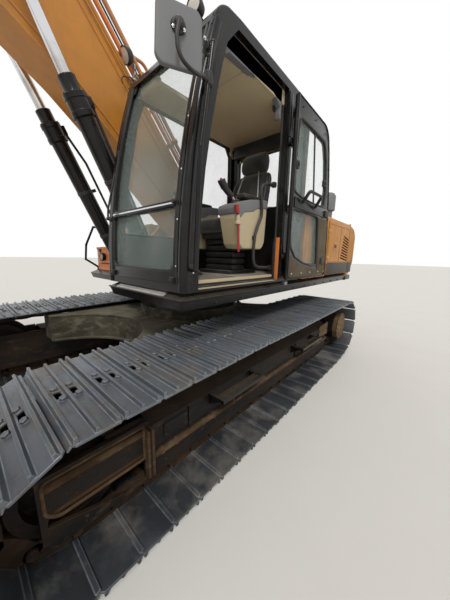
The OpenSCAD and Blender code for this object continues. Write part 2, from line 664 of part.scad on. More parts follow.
module side_mirror() color(dark_grey) at_swing() {
    translate([0, 0, mirror_arm_z]) linear_extrude(24) polygon([[1022, rail_y + rail_r + 0.3], [1070, rail_y + rail_r + 0.3],
        [mirror_x - 80, rail_y + 36], [mirror_x, rail_y + 56], [mirror_x - 10, rail_y + 76], [mirror_x - 90, rail_y + 60], [1022, rail_y + rail_r + 22]]);
    translate([mirror_x, rail_y + 77, mirror_arm_z + 100]) rotate([90, 0, -25]) linear_extrude(35) polygon([
        [-108, -150], [88, -155], [115, -122], [104, 88], [82, 106], [-85, 104], [-108, 76]]);
}

module on_deck(x0, x1, y0, y1, top) {
    block([x0, max(y0, -side_y + skirt_depth), deck_top], [min(x1, right_front - skirt_depth), y1, skirt_top]);
    block([x0, y0, skirt_top], [x1, y1, top]);
}
tank_in = -560;
tank_split = -440;
module toolbox() color(yellow) at_swing() on_deck(toolbox_front - 440, toolbox_front, -1240, -700, 1570);
module fuel_tank() color(yellow) at_swing() on_deck(tank_split, toolbox_front - 450, -1310, tank_in, 1900);
module hydraulic_tank() color(yellow) at_swing()
    on_deck(door_split + 30, tank_split - 10, -1310, tank_in, house_top - 45);
module engine() color(dark_grey) at_swing() block([-2150, -420, deck_top], [-1330, 420, 1880]);

wall_y = side_y - 27;
door_split = -1260;
post_t = 30;
roof_t = 40;
rear_bay_y = 560;
hood_hinge = [door_split + 10, house_top - 5];
panel_hinge = [door_split + 2, wall_y + 24];
hinge_levels = [1450, 1800];
hood_hinge_y = 400;
panel_pin_r = 6;
module bay_wall(x) {
    block([x, rear_bay_y, deck_top], [x + post_t, side_y - skirt_depth, skirt_top]);
    block([x, rear_bay_y, skirt_top], [x + post_t, wall_y, house_top - roof_t]);
}
module house_frame() color(yellow) at_swing() {
    both_sides() {
        bay_wall(door_split);
        bay_wall(cw_front);
        block([cw_front, rear_bay_y, house_top - roof_t], [door_split + post_t, wall_y, house_top]);
        for (z = hinge_levels) {
            for (dz = [-34, 22]) block([panel_hinge[0] - 8, wall_y, z + dz],
                [panel_hinge[0] + 10, panel_hinge[1] + 9, z + dz + 12]);
            translate([panel_hinge[0], panel_hinge[1], z - 22]) cylinder(r = panel_pin_r, h = 44);
        }
        for (dy = [-34, 22]) block([hood_hinge[0] - 8, hood_hinge_y + dy, house_top - roof_t],
            [hood_hinge[0] + 14, hood_hinge_y + dy + 12, hood_hinge[1] + 10]);
        bar(hood_hinge, 8, hood_hinge_y, 44);
    }
    bay_wall(cab_rear_x - 50 - post_t);
    block([door_split + post_t, rear_bay_y, house_top - roof_t], [cab_rear_x - 50, wall_y, house_top]);
    block([door_split, -rear_bay_y, deck_top], [door_split + post_t, rear_bay_y, house_top - roof_t]);
    block([door_split + post_t, tank_in + 5, deck_top], [cab_rear_x - 10, rear_bay_y, 1560]);
    block([door_split + post_t / 2, wall_y, skirt_top], [cab_rear_x - 50, wall_y + panel_t, house_top - 10]);
}
panel_t = 20;
panel_gap = 6;
panel_low = skirt_top + panel_gap;
panel_high = house_top - roof_t - 2;
vane_n = 8;
module side_door() difference() {
    union() {
        block([cw_front + 20, wall_y + panel_gap, panel_low], [door_split - 12, panel_hinge[1] + 2, panel_high]);
        for (z = hinge_levels) {
            block([door_split - 40, panel_hinge[1] + 1, z - 20], [panel_hinge[0], panel_hinge[1] + 8, z + 20]);
            translate([panel_hinge[0], panel_hinge[1], z - 20]) cylinder(r = 11, h = 40);
        }
    }
    for (z = hinge_levels)
        translate([panel_hinge[0], panel_hinge[1], z - 21]) cylinder(r = panel_pin_r + fit_gap, h = 42);
    for (i = [0 : vane_n - 1])
        block([cw_front + 90, wall_y, 1500 + i * 40], [cw_front + 420, wall_y + 60, 1515 + i * 40]);
}
module left_door() color(yellow) at_swing() side_door();
module right_door() color(yellow) at_swing() mirror([0, 1, 0]) side_door();
hood_w = 1100;
hood_h = 230;
module engine_hood() color(yellow) at_swing() difference() {
    union() {
        block([cw_front + 10, -hood_w / 2, house_top - 20], [door_split - 8, hood_w / 2, house_top + hood_h]);
        both_sides() {
            block([door_split - 10, hood_hinge_y - 20, hood_hinge[1] - 8], [hood_hinge[0], hood_hinge_y + 20, hood_hinge[1] + 8]);
            bar(hood_hinge, 14, hood_hinge_y, 40);
        }
    }
    both_sides() bar(hood_hinge, 8 + fit_gap, hood_hinge_y, 42);
    block([cw_front + 30, 20 - hood_w / 2, house_top - 30], [door_split - 28, hood_w / 2 - 20, house_top + hood_h - 20]);
}

cw_base = 1130;
cw_top = 2040;
eye_t = 40;
module counterweight() color(yellow) at_swing() {
    intersection() {
        rotate_extrude($fn = 180) polygon([
            [500, cw_base], [tail_r - 220, cw_base], [tail_r - 70, cw_base + 100], [tail_r, cw_base + 300],
            [tail_r, cw_top - 180], [tail_r - 40, cw_top - 60], [tail_r - 120, cw_top], [500, cw_top]]);
        block([-tail_r, -side_y, cw_base - 10], [cw_front, side_y, cw_top + 10]);
    }
    for (s = [-1, 1]) translate([cw_front - 250, s * 620, cw_top]) difference() {
        block([-70, -eye_t / 2, 0], [70, eye_t / 2, 110]);
        translate([0, eye_t / 2 + 1, 60]) rotate([90, 0, 0]) cylinder(r = 32, h = eye_t + 2);
    }
}
module exhaust() color(dark_grey) at_swing() translate([-1500, -700, house_top]) difference() {
    cylinder(r = 60, h = 420);
    translate([0, 0, 20]) cylinder(r = 54, h = 420);
}
roof_lamp = [620, 230];
toolbox_lamp = [-980, 1440];
module lamps() color(dark_grey) at_swing() {
    translate([roof_lamp[0], cab_left_y - roof_lamp[1], cab_top]) {
        block([0, -15, 0], [75, 15, 14]);
        block([0, -15, 6], [250, 15, 14]);
        translate([210, 0, 62]) rotate([0, 90, 0]) cylinder(r = 52, h = 70);
    }
    translate([toolbox_front, toolbox_lamp[0], toolbox_lamp[1]]) rotate([0, 90, 0]) cylinder(r = 55, h = 50);
}

// The door is drawn closed and then turned about its hinge to lie open
module opened() translate([hinge_x, hinge_y, 0]) rotate([0, 0, 180]) translate([-hinge_x, -hinge_y, 0]) children();
module cab_door() color(black) at_swing() opened() {
    difference() {
        slab(cab_left_y - door_t / 2, door_t) polygon(door_outline(0));
        slab(cab_left_y - door_t / 2, door_t + 2) polygon(door_upper_win);
        slab(cab_left_y - door_t / 2, door_t + 2) polygon(door_lower_win);
    }
    for (z = [1500, 2500]) difference() {
        union() {
            block([hinge_x, cab_left_y + 6, z - 19], [hinge_x + 70, cab_left_y + 14, z + 19]);
            block([door_rear, cab_left_y, z - 19], [hinge_x + 70, cab_left_y + 7, z + 19]);
            translate([hinge_x, hinge_y, z - 19]) cylinder(r = 17, h = 38);
        }
        translate([hinge_x, hinge_y, z - 21]) cylinder(r = 8 + fit_gap, h = 42);
    }
}
module door_glass() color(glass_tint) at_swing() opened() {
    slab(cab_left_y - door_t / 2, glass_t) polygon(inset(door_upper_win, seal));
    slab(cab_left_y - door_t / 2, glass_t) polygon(inset(door_lower_win, seal));
}

module boom() color(yellow) in_boom() difference() {
    union() {
        difference() {
            slab(0, boom_w) polygon(boom_outline);
            difference() {
                slab(0, boom_w - 2 * boom_plate) polygon(inset(boom_outline, boom_plate));
                block([boom_len - boom_fork - boom_plate, -boom_w, -400], [boom_len + 300, boom_w, 700]);
            }
        }
        bar([0, 0], foot_boss_r, 0, 2 * bracket_in - 2 * eye_gap);
        bar(lift_pin, lift_boss_r, 0, 2 * (lift_y - lift_eye_w / 2 - eye_gap));
        for (s = [-1, 1]) {
            bar(boom_tip, tip_boss_r, s * (boom_w / 2 - 26), 52);
            slab(s * 75, 36) polygon([[2790, 920], [3120, 835], [3095, 1070], [3060, 1150], [2960, 1175], [2900, 1120]]);
        }
        bar(crowd_foot, pin_radius, 0, 170);
    }
    bar([0, 0], foot_pin_r + fit_gap, 0, 600);
    bar(boom_tip, arm_pin_r + fit_gap, 0, 600);
    block([boom_len - boom_fork, -arm_w / 2 - 3, -400], [boom_len + 300, arm_w / 2 + 3, 700]);
}
pipe_r = 21;
pipe_lift = 68;
pipe_space = 58;
pipe_y = boom_w / 2 - 50;
// An open line moved by t to its left
function beside(p, t) = [for (i = [0 : len(p) - 1])
    let (n = len(p), n0 = outward(p[max(i - 1, 0)], p[max(i, 1)]), n1 = outward(p[min(i, n - 2)], p[min(i + 1, n - 1)]))
    p[i] - (n0 + n1) * t / (1 + n0 * n1)];
pipe_line = beside(concat([[500, boom_back[0][1] + 540 * 0.348]], [for (i = [1 : len(boom_back) - 1]) boom_back[i]]), pipe_lift);
// Pipe clamps: which stretch of the boom's top carries each and how far along
pipe_clamps = [[0, 0.35], [0, 0.6], [0, 0.9]];
module boom_pipes() color(yellow) in_boom() {
    for (i = [0 : 2]) translate([0, pipe_y - pipe_space * i, 0]) tube([for (q = pipe_line) [q[0], 0, q[1]]], pipe_r);
    for (c = pipe_clamps) {
        a = boom_back[c[0]];
        b = boom_back[c[0] + 1];
        along(a + (b - a) * c[1], b) block([-18, pipe_y - 2 * pipe_space - 35, 0.3], [18, pipe_y + 35, pipe_lift - 10]);
    }
}

// One barrel with its foot eye at the origin, pointing along X, its tube from start to len
module barrel(start, len, r, rod, eye_w, head) difference() {
    union() {
        bar([0, 0], pin_radius + 35, 0, eye_w);
        block([0, -eye_w / 2, -50], [start + 5, eye_w / 2, 50]);
        rotate([0, 90, 0]) translate([0, 0, start]) cylinder(r = r, h = len - start);
        rotate([0, 90, 0]) translate([0, 0, len - 230]) cylinder(r = r + head, h = 190);
    }
    bar([0, 0], pin_radius + fit_gap, 0, eye_w + 2);
    rotate([0, 90, 0]) translate([0, 0, start + 20]) cylinder(r = rod + fit_gap, h = len);
}
// One rod with its eye at distance reach along X
module rod(reach, len, r, eye_r, eye_w) {
    rotate([0, 90, 0]) translate([0, 0, reach - len]) cylinder(r = r, h = len - eye_r + 10);
    bar([reach, 0], eye_r, 0, eye_w);
}
lift_abs = turn(lift_pin, boom_angle) + foot;
module lift_frame() at_swing() for (s = [-1, 1]) translate([0, boom_y + s * lift_y, 0])
    along(lift_foot, lift_abs) children();
module lift_barrels() color(black) lift_frame() barrel(60, lift_barrel, lift_r, lift_rod_r, lift_eye_w - 1, 2.5);
module lift_rods() color(chrome) lift_frame()
    rod(norm(lift_abs - lift_foot), lift_barrel, lift_rod_r, 85, lift_eye_w);

crowd_eye_w = 112;
module crowd_frame() in_boom() along(crowd_foot, crowd_pin) children();
module arm_barrel() color(black) crowd_frame() barrel(140, crowd_barrel, crowd_r, 48, crowd_eye_w, 12);
module arm_rod() color(chrome) crowd_frame()
    rod(norm(crowd_pin - crowd_foot), crowd_barrel - 60, 48, 82, crowd_eye_w);

module arm() color(yellow) in_arm() difference() {
    union() {
        difference() {
            slab(0, arm_w) polygon(arm_outline);
            slab(0, arm_w - 2 * boom_plate) polygon(inset(arm_outline, boom_plate));
        }
        bar([0, 0], arm_boss_r, 0, arm_w);
        bar([0, 0], arm_pin_r, 0, boom_w);
        bar(bucket_pin, arm_nose_r, 0, arm_w);
        bar(rocker_foot, 90, 0, arm_w);
        bar(rocker_foot, 35, 0, arm_w + 2 * rocker_t + 20);
        for (s = [-1, 1]) {
            slab(s * 75, 36) polygon([[70, 440], [420, 430], [350, 560], [320, 615], [280, 640], ear_corner, [160, 590]]);
            slab(s * 100, 86) polygon([[-864, 70], [-620, -60], [-400, -140], [-400, 320], [-700, 250], [-864, 210]]);
        }
        bar(curl_foot, pin_radius, 0, 170);
    }
    block([-960, -crowd_eye_w / 2 - eye_gap, -300], [-480, crowd_eye_w / 2 + eye_gap, 500]);
}

module curl_frame() in_arm() along(curl_foot, rocker_pin) children();
module bucket_barrel() color(black) curl_frame() barrel(155, curl_barrel, curl_r, 40, crowd_eye_w, 10);
module bucket_rod() color(chrome) curl_frame()
    rod(norm(rocker_pin - curl_foot), 1500, 40, 75, link_eye_w);

rocker_y = arm_w / 2 + eye_gap + rocker_t / 2;
module rocker_links() color(yellow) in_arm() for (s = [-1, 1]) {
    difference() {
        slab(s * rocker_y, rocker_t) polygon(link_outline(rocker_foot, rocker_pin, 80, 78));
        bar(rocker_foot, 35 + fit_gap, 0, 900);
    }
    bar(rocker_pin, 35, s * (rocker_y + link_eye_w / 2 + eye_gap) / 2, rocker_y - link_eye_w / 2 - eye_gap);
}
module bucket_link() color(yellow) in_arm() difference() {
    slab(0, arm_w) polygon(link_outline(rocker_pin, link_pin, 75, 85));
    along(rocker_pin, link_pin)
        block([-100, -link_eye_w / 2 - eye_gap, -100], [link_slot, link_eye_w / 2 + eye_gap, 100]);
    bar(rocker_pin, 35 + fit_gap, 0, 900);
}

// Side outline of the bucket: lip, floor, round back and top, closed along the mouth
shell_c = [480, 330];
shell_r = 430;
lip_u = bucket_reach - 190;
bucket_outline = concat(
    [[lip_u, 30], [lip_u + 30, 62]],
    arc_pts(shell_c[0], shell_c[1], shell_r, 62, 205, 13),
    [[240, 12]]);
tooth_n = 5;
ear_y = arm_w / 2 + eye_gap;
ear_t = 45;
module bucket() color([0.3, 0.28, 0.27]) in_bucket() difference() {
    union() {
        difference() {
            slab(0, bucket_w) polygon(bucket_outline);
            slab(0, bucket_w - 40) polygon(concat([[lip_u + 60, 0]], inset(bucket_outline, 25)));
        }
        for (s = [-1, 1]) {
            slab(s * (ear_y + ear_t / 2), ear_t) polygon(concat(
                arc_pts(0, 0, 95, 180, 300, 5), [[350, 20], [380, 500]],
                arc_pts(link_local[0], link_local[1], 100, 60, 180, 5)));
        }
        for (i = [0 : tooth_n - 1])
            slab((i / (tooth_n - 1) - 0.5) * (bucket_w - 110), 80)
            polygon([[lip_u - 60, 20], [bucket_reach, -8], [bucket_reach, 12], [lip_u + 60, 80], [lip_u - 60, 110]]);
        bar([0, 0], 40, 0, 2 * (ear_y + ear_t));
    }
    bar([0, 0], arm_nose_r + 4, 0, arm_w + 2 * eye_gap);
}
link_local = flat(bucket_pin_d, 105);

carbody();
track_frame_left();
track_frame_right();
track_left();
track_right();
idlers();
sprockets();
rollers();
steps();
platform();
boom_bracket();
cab_floor();
cab_left();
cab_right();
cab_front();
cab_rear();
cab_roof();
cab_glass();
seat();
consoles();
levers();
handrails();
side_mirror();
toolbox();
fuel_tank();
hydraulic_tank();
house_frame();
engine();
counterweight();
exhaust();
lamps();
cab_door();
door_glass();
engine_hood();
left_door();
right_door();
boom();
boom_pipes();
lift_barrels();
lift_rods();
arm_barrel();
arm_rod();
arm();
bucket_barrel();
bucket_rod();
rocker_links();
bucket_link();
bucket();
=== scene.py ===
import json
import math
import bmesh
import bpy
from mathutils import Matrix, Vector

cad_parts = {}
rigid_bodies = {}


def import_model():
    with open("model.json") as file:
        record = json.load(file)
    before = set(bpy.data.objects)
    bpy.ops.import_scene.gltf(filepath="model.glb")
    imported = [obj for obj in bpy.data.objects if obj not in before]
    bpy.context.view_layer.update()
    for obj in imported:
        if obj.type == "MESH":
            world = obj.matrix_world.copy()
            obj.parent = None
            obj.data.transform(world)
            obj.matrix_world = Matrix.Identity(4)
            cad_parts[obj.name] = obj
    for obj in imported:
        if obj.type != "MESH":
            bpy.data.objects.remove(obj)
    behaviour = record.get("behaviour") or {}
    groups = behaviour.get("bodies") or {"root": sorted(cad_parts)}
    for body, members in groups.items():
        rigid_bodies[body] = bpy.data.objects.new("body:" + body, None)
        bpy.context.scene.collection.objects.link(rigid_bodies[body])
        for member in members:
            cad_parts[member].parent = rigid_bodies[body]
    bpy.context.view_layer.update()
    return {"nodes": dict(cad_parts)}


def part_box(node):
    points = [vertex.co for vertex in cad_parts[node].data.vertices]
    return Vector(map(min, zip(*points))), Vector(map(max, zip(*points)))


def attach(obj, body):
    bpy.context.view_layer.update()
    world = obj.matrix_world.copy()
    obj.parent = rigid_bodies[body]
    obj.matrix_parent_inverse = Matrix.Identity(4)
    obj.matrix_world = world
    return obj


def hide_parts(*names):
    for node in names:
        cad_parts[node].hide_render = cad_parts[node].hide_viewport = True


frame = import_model()
nodes = frame["nodes"]

# Driving sizes, in millimetres, measured from the swing axis, the ground and the middle plane
TAIL_R = 2930
SWING_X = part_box("counterweight")[0].x * 1000 + TAIL_R
TRACK_Y = 1195
SHOE_W = 800
SHOE_COUNT = 49
PIN_R = 320
IDLER = (1850, 427)
SPROCKET = (-1800, 452)
SIDE_Y = 1347
CAB_LEFT, CAB_RIGHT = 1330, 318
CAB_REAR, CAB_FRONT = -450, 1188
CAB_BASE, SILL, FRONT_TOP, CAB_TOP = 1250, 1310, 2850, 2965
FRONT_CURVE = 9730
BOOM_Y, BOOM_FOOT_Z, BOOM_LEN, BOOM_ANGLE = -110, 1860, 5700, 30.5
ARM_LEN, ARM_REL, BUCKET_REL = 2925, -127.5, 262

# Pins of the cylinders and links: on the upper body, the boom, the arm and the bucket
LIFT_FOOT, LIFT_REACH, LIFT_RISE = (679, 1290), 2600, 15
CROWD_FOOT, CROWD_PIN = (3000, 1100), (-768, 135)
CURL_FOOT, ROCKER_FOOT = (250, 560), (ARM_LEN - 420, 60)
ROCKER_LEN, LINK_LEN, EAR_REACH, EAR_RISE = 620, 600, 445, 105


def move(x, y, z, pitch=0.0):
    """A place in millimetres with its X axis raised by pitch degrees."""
    return Matrix.Translation((x, y, z)) @ Matrix.Rotation(-math.radians(pitch), 4, "Y")


AT = Matrix.Scale(0.001, 4) @ move(SWING_X, 0, 0)
BOOM = AT @ move(0, BOOM_Y, BOOM_FOOT_Z, BOOM_ANGLE)
ARM = BOOM @ move(BOOM_LEN, 0, 0, ARM_REL)
BUCKET = ARM @ move(ARM_LEN, 0, 0, BUCKET_REL)

# The camera stands where the photograph was taken, in front of the left track
camera_data = bpy.data.cameras.new("camera")
camera_data.lens = 14.274
camera_data.sensor_width = 36
camera_data.clip_start = 0.05
camera = bpy.data.objects.new("camera", camera_data)
bpy.context.scene.collection.objects.link(camera)
right, up, ahead = (Vector(v) for v in (
    (-0.66030, 0.75067, 0.02214), (-0.12262, -0.13684, 0.98297), (-0.74092, -0.64635, -0.18241)))
turned = Matrix((right, up, -ahead)).transposed().to_4x4()
camera.matrix_world = Matrix.Translation((0.8122, 2.475, 1.489)) @ turned
bpy.context.scene.camera = camera


# ---------- materials ----------
def srgb(text):
    """A colour written as six hex digits, as the linear values that shaders use."""
    parts = [int(text[i:i + 2], 16) / 255 for i in (0, 2, 4)]
    return tuple(p / 12.92 if p < 0.04045 else ((p + 0.055) / 1.055) ** 2.4 for p in parts) + (1.0,)


class Finish:
    """A procedural material that is built up layer by layer from its base colour."""

    def __init__(self, name, base, rough=0.5, metal=0.0):
        self.mat = bpy.data.materials.new(name)
        self.mat.use_nodes = True
        self.nodes = self.mat.node_tree.nodes
        self.links = self.mat.node_tree.links
        self.shader = self.nodes["Principled BSDF"]
        self.mat.diffuse_color = srgb(base)
        self.coord = self.nodes.new("ShaderNodeTexCoord").outputs["Object"]
        self.colour = srgb(base)
        self.rough = rough
        self.shader.inputs["Metallic"].default_value = metal
        self.bumps = []

    def put(self, socket, value):
        if isinstance(value, bpy.types.NodeSocket):
            self.links.new(value, socket)
        else:
            socket.default_value = value

    def noise(self, scale, low=0.4, high=0.6, detail=5.0, stretch=(1, 1, 1), offset=0.0):
        """Cloudy mask from 0 to 1, with scale in patches per metre."""
        mapping = self.nodes.new("ShaderNodeMapping")
        mapping.inputs["Scale"].default_value = stretch
        mapping.inputs["Location"].default_value = (offset, offset * 1.7, offset * 0.6)
        self.links.new(self.coord, mapping.inputs["Vector"])
        node = self.nodes.new("ShaderNodeTexNoise")
        node.inputs["Scale"].default_value = scale
        node.inputs["Detail"].default_value = detail
        node.inputs["Roughness"].default_value = 0.6
        self.links.new(mapping.outputs["Vector"], node.inputs["Vector"])
        return self.span(node.outputs["Fac"], low, high)

    def span(self, value, low, high):
        node = self.nodes.new("ShaderNodeMapRange")
        self.put(node.inputs["Value"], value)
        node.inputs["From Min"].default_value = low
        node.inputs["From Max"].default_value = high
        return node.outputs["Result"]

    def calc(self, kind, a, b):
        node = self.nodes.new("ShaderNodeMath")
        node.operation = kind
        node.use_clamp = kind in ("ADD", "SUBTRACT")
        self.put(node.inputs[0], a)
        self.put(node.inputs[1], b)
        return node.outputs[0]

    def both(self, a, b):
        return self.calc("MULTIPLY", a, b)

    def facing_up(self, low=0.2, high=0.95):
        geometry = self.nodes.new("ShaderNodeNewGeometry")
        split = self.nodes.new("ShaderNodeSeparateXYZ")
        self.links.new(geometry.outputs["Normal"], split.inputs[0])
        return self.span(split.outputs["Z"], low, high)

    def below(self, full, none):
        """1 at and under the height full, falling to 0 at the height none, in metres at rest."""
        split = self.nodes.new("ShaderNodeSeparateXYZ")
        self.links.new(self.coord, split.inputs[0])
        return self.span(split.outputs["Z"], none, full)

    def edges(self, radius, low=0.02, high=0.2):
        """Mask of the outer edges, as wide as radius."""
        bevel = self.nodes.new("ShaderNodeBevel")
        bevel.samples = 4
        bevel.inputs["Radius"].default_value = radius
        geometry = self.nodes.new("ShaderNodeNewGeometry")
        node = self.nodes.new("ShaderNodeVectorMath")
        node.operation = "DOT_PRODUCT"
        self.links.new(bevel.outputs["Normal"], node.inputs[0])
        self.links.new(geometry.outputs["Normal"], node.inputs[1])
        return self.span(self.calc("SUBTRACT", 1.0, node.outputs["Value"]), low, high)

    def blend(self, mask, a, b, kind="RGBA"):
        node = self.nodes.new("ShaderNodeMix")
        node.data_type = kind
        pair = [s for s in node.inputs if s.type == kind.replace("FLOAT", "VALUE")][-2:]
        self.put(node.inputs[0], mask)
        self.put(pair[0], a)
        self.put(pair[1], b)
        return [s for s in node.outputs if s.type == kind.replace("FLOAT", "VALUE")][0]

    def layer(self, mask, colour, rough=None, amount=1.0):
        """Lays a colour, and a roughness with it, over what is there."""
        mask = self.both(mask, amount)
        self.colour = self.blend(mask, self.colour, srgb(colour))
        if rough is not None:
            self.rough = self.blend(mask, self.rough, rough, "FLOAT")

    def bump(self, height, distance, strength=1.0):
        self.bumps.append((height, distance, strength))

    def cloud(self, colour, rough, amount, *noise, offset=0.0):
        """Lays a colour over the patches of a noise."""
        self.layer(self.noise(*noise, offset=offset), colour, rough, amount)

    def grain(self, scale, distance, strength, detail=2.0, low=0.0, high=1.0, stretch=(1, 1, 1)):
        """Roughens the surface with a fine noise."""
        self.bump(self.noise(scale, low, high, detail, stretch), distance, strength)

    def done(self, round_edges=0.0):
        self.put(self.shader.inputs["Base Color"], self.colour)
        self.put(self.shader.inputs["Roughness"], self.rough)
        normal = None
        if round_edges:
            node = self.nodes.new("ShaderNodeBevel")
            node.samples = 4
            node.inputs["Radius"].default_value = round_edges
            normal = node.outputs["Normal"]
        for height, distance, strength in self.bumps:
            node = self.nodes.new("ShaderNodeBump")
            node.inputs["Distance"].default_value = distance
            node.inputs["Strength"].default_value = strength
            self.put(node.inputs["Height"], height)
            if normal:
                self.links.new(normal, node.inputs["Normal"])
            normal = node.outputs["Normal"]
        if normal:
            self.links.new(normal, self.shader.inputs["Normal"])
        return self.mat


DUST, MUD, RUST, STEEL = "b3a68e", "6f6047", "6b3f23", "8e8c87"


def paint(name, base, rough, dust, rust, wear, fade=None, edge=0.004, mirror=0.5, grime=1.0):
    """Painted plate: faded patches, runs of dirt, worn edges, chips and dust on top."""
    f = Finish(name, base, rough)
    f.shader.inputs["Specular IOR Level"].default_value = mirror
    if fade:
        f.cloud(fade, rough + 0.1, 0.6, 0.9, 0.38, 0.68, offset=3.1)
    f.cloud("3c352b", rough + 0.2, 0.22 * grime, 7.0, 0.45, 0.8, 8.0, offset=1.3)
    f.cloud("4b4337", rough + 0.2, 0.25 * grime, 2.4, 0.5, 0.8, 6.0, (4, 4, 0.5), offset=5.2)
    f.layer(f.both(f.edges(edge, 0.02, 0.16), f.noise(14.0, 0.4, 0.6, 6.0)), STEEL, 0.45, wear)
    f.cloud(RUST, 0.85, rust, 38.0, 0.66, 0.72, 8.0, offset=7.7)
    f.cloud(DUST, 0.85, 0.22 * dust, 3.2, 0.25, 0.75, 8.0, offset=9.4)
    f.layer(f.both(f.facing_up(0.3, 0.95), f.noise(5.0, 0.2, 0.6, 8.0)), DUST, 0.9, dust)
    f.grain(55.0, 0.0008, 0.25, 3.0)
    f.grain(420.0, 0.0002, 0.3)
    return f.done(edge)


def steel(name, base, rough=0.5, metal=0.0, dirt=0.5, dirt_colour=MUD, polish=0.4):
    """Bare worn steel with scratches, scale and earth on it."""
    f = Finish(name, base, rough, metal)
    f.cloud("57534c", rough + 0.15, 0.45, 3.0, 0.35, 0.7, 8.0, offset=4.0)
    f.cloud("7a5636", 0.85, 0.3, 24.0, 0.5, 0.66, 9.0, offset=6.0)
    f.layer(f.both(f.edges(0.006, 0.01, 0.12), f.noise(10.0, 0.3, 0.6)), "d2cfc6", 0.3, polish)
    f.cloud(dirt_colour, 0.95, dirt, 6.0, 0.42, 0.68, 9.0, offset=8.0)
    f.grain(90.0, 0.001, 0.35, 5.0)
    f.grain(160.0, 0.0004, 0.3, 2.0, stretch=(1, 0.08, 1))
    return f.done(0.003)


def earthy(name, base, earth, dry, rough=0.6, dusty=0.35, bare=0.0):
    """Dark plate or steel under caked earth: damp brown patches, dry crust on the edges and dust on top."""
    f = Finish(name, base, rough)
    f.shader.inputs["Specular IOR Level"].default_value = 0.25
    f.cloud(earth, 0.85, 0.85, 2.6, 0.36 + bare, 0.62 + bare, 8.0, (0.5, 1, 1.6), offset=1.1)
    f.cloud(dry, 0.95, 0.6, 11.0, 0.5 + bare, 0.7 + bare, 9.0, (0.6, 1, 1.4), offset=3.3)
    f.layer(f.both(f.edges(0.006, 0.02, 0.2), f.noise(9.0, 0.3, 0.6, 7.0)), dry, 0.8, 0.5)
    f.layer(f.both(f.facing_up(0.4, 0.95), f.noise(4.0, 0.2, 0.65, 8.0)), dry, 0.95, dusty)
    f.cloud(RUST, 0.85, 0.35, 34.0, 0.62, 0.7, 8.0, offset=7.7)
    f.grain(18.0, 0.006, 0.5, 8.0, 0.3, 0.8, (0.5, 1, 1.3))
    f.grain(120.0, 0.0015, 0.4, 4.0)
    return f.done(0.004)


def shoe_steel(name):
    """Ground blue-grey steel of the shoes: bright on the bars, earth in the corners, painted shade on the run
    along the ground.
    """
    f = Finish(name, "74797e", 0.4, 0.35)
    f.cloud("4a4e53", 0.5, 0.75, 2.2, 0.36, 0.66, 7.0, (1, 0.5, 1), offset=4.0)
    f.cloud("2f3236", 0.55, 0.35, 30.0, 0.5, 0.7, 8.0, (1, 0.25, 1), offset=6.0)
    f.cloud("7d6b50", 0.9, 0.5, 5.0, 0.5, 0.72, 9.0, offset=8.0)
    # Painted shade: a darker blue-grey copy of the steel over the low run of shoes under the track frame
    f.layer(f.both(f.below(0.16, 0.42), f.noise(2.0, 0.15, 0.5, 5.0)), "24262b", 0.6, 0.85)
    f.layer(f.both(f.below(0.16, 0.42), f.noise(3.4, 0.48, 0.66, 8.0, offset=2.0)), "77736a", 0.9, 0.75)
    f.layer(f.both(f.edges(0.006, 0.01, 0.12), f.noise(10.0, 0.3, 0.6)), "aeb4ba", 0.3, 0.5)
    f.cloud("5b3a22", 0.85, 0.5, 26.0, 0.6, 0.7, 9.0, offset=1.0)
    f.grain(90.0, 0.001, 0.35, 5.0)
    f.grain(160.0, 0.0004, 0.3, 2.0, stretch=(1, 0.08, 1))
    return f.done(0.003)


def plastic(name, base, rough=0.6, grain=700.0, dust=0.3):
    """Moulded plastic with a fine grain and dust on top and in patches."""
    f = Finish(name, base, rough)
    f.cloud("2c2823", rough, 0.12, 4.0, 0.35, 0.75, 6.0)
    f.layer(f.both(f.facing_up(0.3, 1.0), f.noise(8.0, 0.25, 0.7, 7.0)), DUST, 0.9, dust)
    f.cloud(DUST, 0.85, 0.2 * dust, 5.0, 0.4, 0.8, 8.0, offset=3.0)
    f.grain(grain, 0.0003, 0.35)
    return f.done(0.002)


def cloth(name, base, weave=900.0, dust=0.3):
    """Woven seat cloth: crossed ribs, soft creases and dust."""
    f = Finish(name, base, 0.92)
    f.shader.inputs["Sheen Weight"].default_value = 0.35
    f.shader.inputs["Sheen Roughness"].default_value = 0.5
    ribs = []
    for direction in ("X", "Y", "Z"):
        wave = f.nodes.new("ShaderNodeTexWave")
        wave.bands_direction = direction
        wave.inputs["Scale"].default_value = weave / 6
        f.links.new(f.coord, wave.inputs["Vector"])
        ribs.append(wave.outputs["Fac"])
    woven = f.both(f.both(ribs[0], ribs[1]), ribs[2])
    f.layer(f.span(woven, 0.0, 0.5), "2a2a2c", 0.95, 0.6)
    f.cloud(DUST, 0.95, 0.45 * dust, 5.0, 0.35, 0.75, 7.0)
    f.layer(f.facing_up(0.5, 1.0), DUST, 0.95, 0.35 * dust)
    f.bump(woven, 0.0006, 0.5)
    f.grain(22.0, 0.004, 0.35, 4.0)
    return f.done()


def rod_chrome(name, base):
    """Polished rod with a thin film of oil and dust."""
    f = Finish(name, base, 0.13, 1.0)
    f.cloud("8d8778", 0.4, 0.5, 5.0, 0.5, 0.75, 6.0)
    f.grain(300.0, 0.0001, 0.2)
    return f.done()


def clear(name, tint="9fb8b4", dust=0.35, alpha=0.16):
    """Tinted pane with a dusty film and wiped streaks; it mirrors what is around it."""
    f = Finish(name, tint, 0.05)
    f.shader.inputs["IOR"].default_value = 1.5
    film = f.both(f.noise(2.2, 0.3, 0.8, 9.0, (1, 1, 0.6)), f.noise(60.0, 0.2, 0.8, 6.0))
    f.layer(film, "c9c2b2", 0.7, 1.0)
    opacity = f.calc("ADD", f.both(film, dust), alpha)
    f.put(f.shader.inputs["Alpha"], opacity)
    f.mat.surface_render_method = "BLENDED"
    return f.done()


